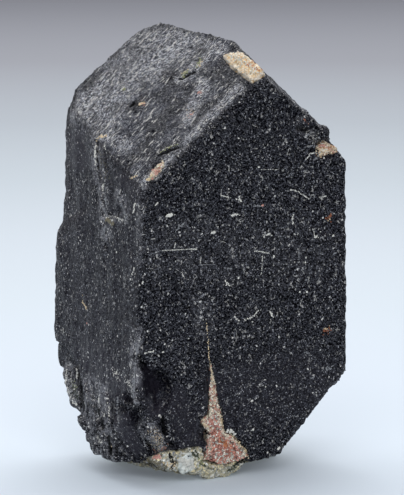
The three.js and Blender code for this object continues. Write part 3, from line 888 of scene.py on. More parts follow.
# Where dark is above zero, a stroke's hollow also gets painted shade.
STROKES: dict[str, Stroke] = {
    "black pit in the roof": Stroke(((131.4, 105.6), (134, 104.6)), 0.6, 0.7),
    "crack in the roof": Stroke(((180.5, 79.6), (195, 72.6)), 0.4, 0.35, 0.8),
    "roof edge at the streak": Stroke(((160, 155), (171, 150.6), (181, 146.6)), 0.4, 0.3, 0.8),
    "groove in the left face": Stroke(((97.5, 143), (98.5, 165), (103.5, 190), (106, 214)), 0.6, 0.4, 0.4),
    "V in the left face": Stroke(((109, 216), (116, 214), (122, 208)), 0.6, 0.35, 0.4),
    # a dent with painted shade in it
    "dent with painted shade": Stroke(((105, 243.5), (107, 246)), 0.7, 0.3, 0.6),
    "gap in the vug": Stroke(((299, 127), (304, 130.5), (309.5, 130)), 0.65, 1.0, 1.0),
    "gap along the edge": Stroke(((310, 124.5), (315, 129), (319, 135)), 0.4, 0.6, 0.8),
    "gap in the vug's middle": Stroke(((308, 139), (313, 142)), 0.45, 0.7, 0.9),
    "gap by the tan grain": Stroke(((311, 150), (316, 148.5)), 0.4, 0.6, 1.0),
    "lump at the outline": Stroke(((321, 132), (325, 139)), 0.8, -0.4, 0.0),
    "black blob in the pit": Stroke(((139, 357), (141, 363), (146, 369)), 0.7, 0.8),
    "right wall of the pit": Stroke(((165, 376), (168.5, 392), (165, 410)), 0.6, 0.4, 0.5),
    "gap behind the flake": Stroke(((79, 374), (80.8, 386), (82.4, 405)), 0.5, 1.1),
    "flake": Stroke(((68, 372), (70.5, 386), (74.5, 401)), 1.0, -0.45, 0.0),
    "flake's right tip": Stroke(((77, 369), (77.4, 374)), 0.45, -0.4, 0.0),
    "upper slot": Stroke(((95, 405), (98.5, 413.5)), 0.45, 0.9),
    "lower slot": Stroke(((101, 418.5), (103.2, 427)), 0.45, 0.9),
    "ledge beside the slots": Stroke(((86, 384), (93.5, 401), (99.5, 417), (103, 432)), 0.5, -0.3, 0.0),
    "white ridge": Stroke(((108.4, 396), (109, 409), (109.4, 421)), 0.45, -0.4, 0.0),
    "groove beside the ridge": Stroke(((112.5, 399), (113.5, 412), (113.5, 424)), 0.4, 0.45, 0.7),
    "undercut's left rib": Stroke(((118.4, 397), (117.2, 410), (118.6, 424)), 0.4, -0.35, 0.0),
    "undercut": Stroke(((126, 397.5), (130, 401), (135, 406)), 0.9, 0.6, 0.9),
    "undercut's depth": Stroke(((121.5, 405), (125.5, 409)), 0.6, 0.35, 0.6),
    "front edge below the pit": Stroke(((136, 401), (139.5, 407), (143.5, 416)), 0.4, -0.3, 0.0),
    "notch in the outline": Stroke(((84.6, 427.6), (87, 431)), 0.6, 0.7, 0.9),
    "bulge above the notch": Stroke(((82, 419), (86, 424.5)), 0.8, -0.3, 0.0),
    "upright slit": Stroke(((108.6, 437), (110.5, 444), (111.2, 452)), 0.55, 1.1),
    "slit right of it": Stroke(((115.5, 447), (117.5, 452)), 0.4, 0.6, 0.8),
    "rib between the slits": Stroke(((113.5, 428), (114, 441), (115, 451)), 0.4, -0.3, 0.0),
    "hollow above the cluster": Stroke(((98, 430.5), (102, 433.5)), 0.5, 0.4, 0.6),
    "facet's lower edge": Stroke(((121, 442), (127, 448), (134, 453)), 0.4, 0.35, 0.6),
    "splinter": Stroke(((140.4, 434), (143.6, 441), (147.4, 449)), 0.4, -0.35, 0.0),
    "gap beside the splinter": Stroke(((145, 437), (148.2, 443), (150.6, 448.6)), 0.35, 0.6, 0.9),
    "dusty lump": Stroke(((152, 433), (157, 438), (162, 446)), 1.2, -0.55, 0.0),
    "slit above the lump": Stroke(((162.4, 418.5), (163.4, 426), (164.6, 433)), 0.5, 0.9),
    "dark gap by the crust": Stroke(((171, 444.5), (176.5, 449)), 0.5, 0.6, 0.9),
    "under the wedge's knob": Stroke(((203.4, 430), (207.4, 434.5)), 0.45, 0.4, 1.0),
}


class StrokeField:
    """The strokes, laid onto the crystal where the camera sees them."""

    def __init__(self, surface: BVHTree, camera: PhotoCamera) -> None:
        """Finds the strokes' places.

        Args:
            surface: The crystal's surface before its relief, in metres.
            camera: The camera that places them.
        """
        self.places: list[tuple[Stroke, Vector]] = []
        for stroke in STROKES.values():
            hits = [camera.touch(surface, pixel) for pixel in evenly(stroke.line, 1.0)]
            self.places += [(stroke, hit[0]) for hit in hits if hit is not None]
        self.reach = 1.4 * max(stroke.wide for stroke in STROKES.values())
        self.tree = KDTree(len(self.places))
        for index, (_, place) in enumerate(self.places):
            self.tree.insert(place, index)
        self.tree.balance()
        LOG.info("strokes: %d places", len(self.places))

    def near(self, place: Vector) -> dict[Stroke, float]:
        """Gives the strokes around a place, each with its line's distance in millimetres."""
        found: dict[Stroke, float] = {}
        for _, index, far in self.tree.find_range(place, self.reach * MM):
            stroke = self.places[index][0]
            found[stroke] = min(found.get(stroke, math.inf), far / MM)
        return found

    def at(self, place: Vector) -> tuple[float, float]:
        """Gives what the strokes do at a place.

        Args:
            place: The place, in metres.

        Returns:
            How far the surface is pressed in, in millimetres, and how much painted shade it gets.
        """
        pressed, dark = 0.0, 0.0
        for stroke, far in self.near(place).items():
            ragged = far + 0.5 * stroke.wide * noise.noise(place / MM * 2.1)
            share = smooth(stroke.wide, EDGE_SHARE * stroke.wide, ragged)
            pressed += stroke.deep * share
            # painted shade along the pressed-in line
            dark = max(dark, stroke.dark * share)
        return pressed, dark


@dataclass(frozen=True)
class Window:
    """A part of the photograph, in pixels."""

    left: float
    top: float
    right: float
    bottom: float

    def holds(self, spot: Pixel) -> bool:
        """Says whether a spot is in the window."""
        return self.left < spot[0] < self.right and self.top < spot[1] < self.bottom


FINE_WINDOWS: dict[str, Window] = {
    "foot and pit": Window(56, 350, 178, 470),
    "shoulder vug": Window(292, 112, 342, 166),
}


@dataclass(frozen=True)
class Band:
    """A band of the surface, along a line of pixels, that is dustier or calmer than the rest; on the roof a
    dusty band also brightens the painted glints.
    """

    line: tuple[Pixel, ...]
    wide: float
    share: float = 1.0

    @cached_property
    def around(self) -> Window:
        """The window that holds the whole band."""
        across, down = ([spot[axis] for spot in self.line] for axis in range(2))
        wide = self.wide
        return Window(min(across) - wide, min(down) - wide, max(across) + wide, max(down) + wide)

    def at(self, spot: Pixel) -> float:
        """How far a spot in the photograph belongs to the band."""
        if not self.around.holds(spot):
            return 0.0
        return self.share * smooth(self.wide, EDGE_SHARE * self.wide, distance_to_line(spot, self.line))


# Bands of pale dust; on the roof they also brighten the painted glints, and the bands named for sheen are
# there for that painted sheen, though they add dust as well.
DUST_AND_SHEEN_BANDS: dict[str, Band] = {
    "groove in the left face": Band(((97, 140), (98, 165), (103, 190), (105, 215), (107, 236)), 8),
    "V in the left face": Band(((106, 222), (115, 217), (125, 220), (125, 205), (119, 196)), 7, 0.8),
    "edge between roof and front": Band(((143, 187), (165, 165), (190, 140), (215, 112), (240, 88)), 7, 0.8),
    "front edge, upper": Band(((141, 192), (139, 230), (140, 262)), 6, 0.5),
    "front edge, by the pit": Band(((138, 330), (135, 365), (134, 402)), 7, 0.9),
    "upper left of the roof": Band(((96, 120), (118, 84), (150, 50), (176, 46)), 30, 0.6),
    "sheen on the roof's left rim": Band(((76, 118), (84, 104), (98, 92)), 12, 1.0),
    "sheen above the pit": Band(((152, 76), (166, 58), (176, 48)), 12, 0.9),
    "sheen at the right of the roof": Band(((188, 120), (198, 98), (204, 84)), 9, 0.8),
    "sheen by the green grains": Band(((180, 80), (206, 58)), 9, 0.8),
    "sheen at the lower left": Band(((98, 124), (112, 138), (124, 146)), 12, 0.6),
    "sheen under the ridge": Band(((186, 40), (222, 50)), 8, 0.7),
    "white cluster at the shoulder": Band(((97, 139), (106, 137)), 6, 1.0),
    "V's upper part": Band(((119, 192), (124, 206), (126, 220), (114, 219)), 5, 1.0),
    "left foot": Band(((92, 394), (101, 425), (106, 452)), 24, 1.0),
    "foot below the pit": Band(((146, 424), (158, 440), (166, 452)), 10, 0.9),
    "bottom edge of the front": Band(((168, 452), (206, 454)), 6, 0.9),
    "flake at the outline": Band(((70, 368), (73, 404)), 8, 0.9),
    "shoulder": Band(((300, 124), (312, 136), (322, 148)), 10, 0.9),
    "band across the front": Band(((165, 250), (300, 255)), 45, 0.16),
    "below the hairline": Band(((200, 300), (206, 330)), 12, 0.5),
}

CALM_ZONES: dict[str, Band] = {
    "upper left of the left face": Band(((72, 138), (80, 162)), 17),
    "under the corner": Band(((120, 178), (132, 190)), 9, 0.8),
    "middle of the left face": Band(((72, 200), (90, 330)), 30, 0.5),
    "lower left face": Band(((90, 350), (112, 388)), 26, 0.8),
    "facet below the undercut": Band(((124, 422), (136, 446)), 13, 0.9),
    "pit": Band(((146, 376), (158, 408)), 15, 0.9),
    "front below the pit": Band(((176, 400), (190, 442)), 18, 0.6),
    "low on the front": Band(((230, 400), (300, 380)), 50, 0.35),
}


def distance_to_line(spot: Pixel, line: Sequence[Pixel]) -> float:
    """Measures how far a spot is from a chain of straight stretches.

    Args:
        spot: The spot.
        line: The chain's corners.

    Returns:
        The distance to the nearest stretch.
    """
    nearest = math.inf
    for (x0, y0), (x1, y1) in zip(line, line[1:]):
        long, high = x1 - x0, y1 - y0
        share = ((spot[0] - x0) * long + (spot[1] - y0) * high) / (long * long + high * high)
        share = min(1.0, max(0.0, share))
        nearest = min(nearest, math.hypot(spot[0] - x0 - share * long, spot[1] - y0 - share * high))
    return nearest


def banded(spot: Pixel, bands: dict[str, Band]) -> float:
    """How far a spot in the photograph belongs to one of the bands."""
    return max(band.at(spot) for band in bands.values())


@dataclass
class Crystal:
    """The crystal itself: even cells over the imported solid, with each face's own relief."""

    cell: float = 0.34
    wear_passes: int = 2
    outward: float = 0.12
    shoulder_passes: int = 14
    shoulder_band: float = 2.4
    pit_low: Vector = field(default_factory=lambda: Vector((-17.5, -13.5, 8.5)))
    pit_high: Vector = field(default_factory=lambda: Vector((-9.4, -9.0, 19.5)))
    vug_place: Vector = field(default_factory=lambda: Vector((11.3, -12.0, 48.6)))
    vug_reach: float = 3.6
    pit_walls: tuple[float, float] = (0.25, 0.9)
    pit_left_wall: tuple[float, float] = (0.3, 0.8)
    pit_roughness: float = 0.5
    foot_top: float = 5.0
    left_foot_top: float = 12.5
    foot_fade: float = 6.0
    looks_down: tuple[float, float] = (-0.12, -0.4)
    looks_left: tuple[float, float] = (-0.3, -0.8)
    far_dust: float = 0.5
    far_dust_grain: float = 5.0
    far_calm: float = 0.7
    far_calm_grain: float = 6.25
    least_share: float = 0.001

    @cached_property
    def layers(self) -> dict[Zone, list[Layer]]:
        """The relief of each face."""
        striae = Matrix.Rotation(math.radians(33), 3, "Y") @ Matrix.Rotation(math.radians(20), 3, "Z")
        roof = [
            Layer(Form.ROLLING, (2.8, 0.7, 0.9), 0.1, 3, 11.3, striae),
            Layer(Form.LEDGED, (2.6, 1.4, 1.6), 0.1, 3, 3.1, striae),
            Layer(Form.GRAINY, (1.0, 1.0, 1.0), 0.06, 1, 5.2),
        ]
        front = [
            Layer(Form.GRAINY, (1.1, 1.1, 1.1), 0.07, 1, 1.7),
            Layer(Form.ROLLING, (2.4, 2.4, 2.4), 0.16, 4, 8.6),
        ]
        side = [
            Layer(Form.ROLLING, (0.8, 0.85, 3.0), 0.08, 3, 4.4),
            Layer(Form.ROLLING, (2.6, 2.6, 8.0), 0.22, 3, 9.2),
            Layer(Form.GRAINY, (1.1, 1.1, 1.6), 0.06, 1, 2.2),
        ]
        return {
            Zone.ROOF_LEFT: roof,
            Zone.ROOF_RIGHT: roof,
            Zone.FRONT: front,
            Zone.LEFT: side,
            Zone.RIGHT: side,
            Zone.BACK: front,
        }

    @cached_property
    def broken_layers(self) -> list[Layer]:
        """The relief of the fractures."""
        return [
            Layer(Form.LEDGED, (2.4, 2.4, 6.0), 0.5, 4, 2.9),
            Layer(Form.RIDGED, (1.2, 1.2, 4.0), 0.2, 3, 6.3),
            Layer(Form.GRAINY, (1.0, 1.0, 1.6), 0.04, 1, 7.7),
        ]

    @cached_property
    def edge_layers(self) -> list[Layer]:
        """The chips along the edges."""
        return [
            Layer(Form.LEDGED, (1.5, 1.5, 1.5), 0.2, 3, 12.9),
            Layer(Form.ROLLING, (0.8, 0.8, 0.8), 0.1, 2, 15.1),
        ]

    def broken_share(self, point: Vector, normal: Vector) -> float:
        """How broken the surface is: underneath, up the foot of the left face, and in the pit."""
        under = smooth(*self.looks_down, normal.z)
        top = self.left_foot_top if normal.x < -0.5 else self.foot_top
        foot = smooth(top, top - self.foot_fade, point.z) * smooth(*self.looks_left, normal.x)
        vug = smooth(self.vug_reach, 0.6 * self.vug_reach, (point - self.vug_place).length)
        return max(under, foot, vug, self.pit_roughness * self.hollow_share(point))

    def hollow_share(self, point: Vector) -> float:
        """How deep in the front pit a point is."""
        low, high = self.pit_low, self.pit_high
        inside = all(low[axis] < point[axis] < high[axis] for axis in range(3))
        if not inside:
            return 0.0
        off_left_face = point.x - LEFT_X + LEFT_SPREAD * (FRONT_EDGE_TOP - point.z)
        return smooth(*self.pit_walls, point.y - FRONT_Y) * smooth(*self.pit_left_wall, off_left_face)

    def worn(self, solid: bmesh.types.BMesh) -> None:
        """Rounds every edge a little, and the one between the left roof and the left face more."""
        band = []
        for vertex in solid.verts:
            point = vertex.co / MM
            edge_height = FRONT_EDGE_TOP + ROOF_CLIMB * (point.y - FRONT_Y)
            if max(abs(point.x - LEFT_X), abs(point.z - edge_height)) < self.shoulder_band:
                band.append(vertex)
        for _ in range(self.wear_passes):
            bmesh.ops.smooth_vert(
                solid, verts=solid.verts, factor=0.5, use_axis_x=True, use_axis_y=True, use_axis_z=True
            )
        for _ in range(self.shoulder_passes):
            bmesh.ops.smooth_vert(
                solid, verts=band, factor=0.5, use_axis_x=True, use_axis_y=True, use_axis_z=True
            )

    def refined(self, solid: bmesh.types.BMesh, strokes: StrokeField, camera: PhotoCamera) -> None:
        """Makes the cells finer along the strokes and where the photograph shows slits and flakes.

        Args:
            solid: The evenly meshed crystal.
            strokes: The strokes on it.
            camera: The camera that places the windows.
        """
        solid.normal_update()
        fine = set()
        for vertex in solid.verts:
            if vertex.normal.dot(camera.back) > 0:
                spot = camera.seen(vertex.co / MM)
                if any(window.holds(spot) for window in FINE_WINDOWS.values()) or strokes.near(vertex.co):
                    fine.add(vertex.index)
        edges = [edge for edge in solid.edges if all(vertex.index in fine for vertex in edge.verts)]
        bmesh.ops.subdivide_edges(solid, edges=edges, cuts=1, use_grid_fill=True)

    def even_piece(self, camera: PhotoCamera) -> tuple[bpy.types.Object, StrokeField]:
        """Builds the worn, evenly meshed crystal before its relief.

        Args:
            camera: The camera that places the strokes.

        Returns:
            The object, and the strokes on its surface.
        """
        piece = remeshed(stored(merged_copy(CRYSTAL_NODE), "crystal"), self.cell)
        solid = bmesh.new()
        solid.from_mesh(piece.data)
        self.worn(solid)
        strokes = StrokeField(BVHTree.FromBMesh(solid), camera)
        self.refined(solid, strokes, camera)
        solid.to_mesh(piece.data)
        solid.free()
        return piece, strokes

    def height(self, point: Vector, zones: dict[Zone, float], broken: float) -> float:
        """Gives the relief's height.

        Args:
            point: The place, in millimetres.
            zones: How far it belongs to each face.
            broken: How broken the surface is there.

        Returns:
            The height in millimetres.
        """
        height = self.outward
        for zone, share in zones.items():
            if share * (1 - broken) > self.least_share:
                height += share * (1 - broken) * sum(layer.at(point) for layer in self.layers[zone])
        if broken > self.least_share:
            height += broken * (sum(layer.at(point) for layer in self.broken_layers) + 0.15)
        edge = (1 - min(1.0, sum(zones.values()))) * (1 - broken)
        if edge > self.least_share:
            height += edge * (sum(layer.at(point) for layer in self.edge_layers) + 0.05)
        return height

    def dusting(self, point: Vector, normal: Vector, camera: PhotoCamera) -> tuple[float, float]:
        """Gives how dusty the surface is, which on the roof also sets how bright the painted glints are, and
        how calm it is, from the photograph or at random behind.

        Args:
            point: The place, in millimetres.
            normal: The surface's normal there.
            camera: The camera that saw the photograph.

        Returns:
            Both shares, from 0 to 1.
        """
        if normal.dot(camera.back) > 0:
            spot = camera.seen(point)
            return banded(spot, DUST_AND_SHEEN_BANDS), banded(spot, CALM_ZONES)
        dusty = smooth(0.1, 0.5, noise.noise(point / self.far_dust_grain + Vector((9, 9, 9))))
        calm = smooth(0.0, 0.5, noise.noise(point / self.far_calm_grain))
        return self.far_dust * dusty, self.far_calm * calm

    def make(self, fillings: Sequence[str], camera: PhotoCamera) -> bpy.types.Object:
        """Builds the crystal.

        Args:
            fillings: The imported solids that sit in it, which it closes in on.
            camera: The camera that places the strokes and the dust.

        Returns:
            The dressed object.
        """
        piece, strokes = self.even_piece(camera)
        mesh = piece.data
        neighbours = [packed_surface(node) for node in fillings]
        shares: dict[str, list[float]] = {name: [] for name in CrystalPlaces.NAMES}
        normals = [vertex.normal.copy() for vertex in mesh.vertices]
        for vertex, normal in zip(mesh.vertices, normals):
            point = vertex.co / MM
            zones = {zone: zone.share(normal) for zone in Zone}
            broken = self.broken_share(point, normal)
            pressed, dark = strokes.at(vertex.co)
            height = self.height(point, zones, broken) - pressed
            closeness = max(self.closeness(vertex.co, surface) for surface in neighbours)
            height = height * (1 - closeness) + GAP * closeness
            dusty, calm = self.dusting(point, normal, camera)
            shares["roof"].append(max(zones[Zone.ROOF_LEFT], zones[Zone.ROOF_RIGHT]))
            shares["side"].append(max(zones[Zone.LEFT], zones[Zone.RIGHT]) * (1 - broken))
            # the painted shade: deep in the front pit, and along the pressed-in strokes
            shares["hollow"].append(max(self.hollow_share(point), dark))
            # dust, and on the roof the brightness of the painted glints
            shares["dusty"].append(dusty)
            shares["calm"].append(calm)
            vertex.co = (point + normal * height) * MM
        for name, values in shares.items():
            mesh.attributes.new(name, "FLOAT", "POINT").data.foreach_set("value", values)
        mesh.update()
        return keep(piece, ColumbiteFinish().material(), "columbite", CRYSTAL_NODE)

    def closeness(self, place: Vector, surface: BVHTree) -> float:
        """How close a place is to a filling: 1 across the gap that the solids keep, 0 beyond it."""
        _, _, _, far = surface.find_nearest(place, 3 * GAP * MM)
        return 0.0 if far is None else smooth(2.6 * GAP * MM, 1.5 * GAP * MM, far)


def evenly(line: Sequence[Pixel], stride: float) -> Iterator[Pixel]:
    """Gives pixels along a chain of straight stretches, about one stride apart."""
    for (x0, y0), (x1, y1) in zip(line, line[1:]):
        count = max(1, round(math.hypot(x1 - x0, y1 - y0) / stride))
        for index in range(count + 1):
            yield (x0 + (x1 - x0) * index / count, y0 + (y1 - y0) * index / count)


def surface_of(pieces: Sequence[bpy.types.Object]) -> BVHTree:
    """Gives the surface of finished pieces, for lines of sight."""
    places: list[Vector] = []
    faces: list[list[int]] = []
    for piece in pieces:
        first = len(places)
        places += [vertex.co for vertex in piece.data.vertices]
        faces += [[first + corner for corner in face.vertices] for face in piece.data.polygons]
    return BVHTree.FromPolygons(places, faces)


@dataclass
class Filling:
    """A mineral that fills a crack or sits on the crystal, in sugary grains."""

    node: str
    name: str
    slot: str
    finish: SugaryFinish | QuartzFinish
    cell: float = 0.14
    swell: float = 0.0
    rim: float = 0.75
    relief: tuple[Layer, ...] = (
        Layer(Form.GRAINY, (0.55, 0.55, 0.55), 0.17, 1, 3.3),
        Layer(Form.ROLLING, (1.4, 1.4, 1.4), 0.16, 3, 6.1),
    )

    def make(self) -> bpy.types.Object:
        """Builds the filling in grains, and marks its rim next to the crystal."""
        piece = remeshed(stored(merged_copy(self.node), self.name), self.cell)
        crystal = packed_surface(CRYSTAL_NODE)
        solid = bmesh.new()
        solid.from_mesh(piece.data)
        rims = []
        for vertex in solid.verts:
            point = vertex.co / MM
            _, _, _, far = crystal.find_nearest(vertex.co)
            rims.append(smooth(self.rim + GAP, GAP + 0.1, far / MM))
            height = self.swell + sum(layer.at(point) for layer in self.relief)
            self.refresh_normal(vertex)
            vertex.co = (point + vertex.normal * height) * MM
            vertex.co.z = max(vertex.co.z, 0.0)
        solid.to_mesh(piece.data)
        solid.free()
        piece.data.attributes.new("rim", "FLOAT", "POINT").data.foreach_set("value", rims)
        piece.data.update()
        return keep(piece, self.finish.material(), self.slot, self.node)

    def refresh_normal(self, vertex: bmesh.types.BMVert) -> None:
        """Works out a vertex's normal from where its neighbours have been moved to by now."""
        for face in vertex.link_faces:
            face.normal_update()
        vertex.normal_update()


@dataclass(frozen=True)
class Mark:
    """A thin film or a small grain on the crystal, or a patch of painted shade or a painted glint, as a chain
    of chips along a line of pixels.
    """

    shade: Shade
    line: tuple[Pixel, ...]
    size: float = 0.11
    fill: float = 0.75
    spread: float = 0.25
    layers: int = 1


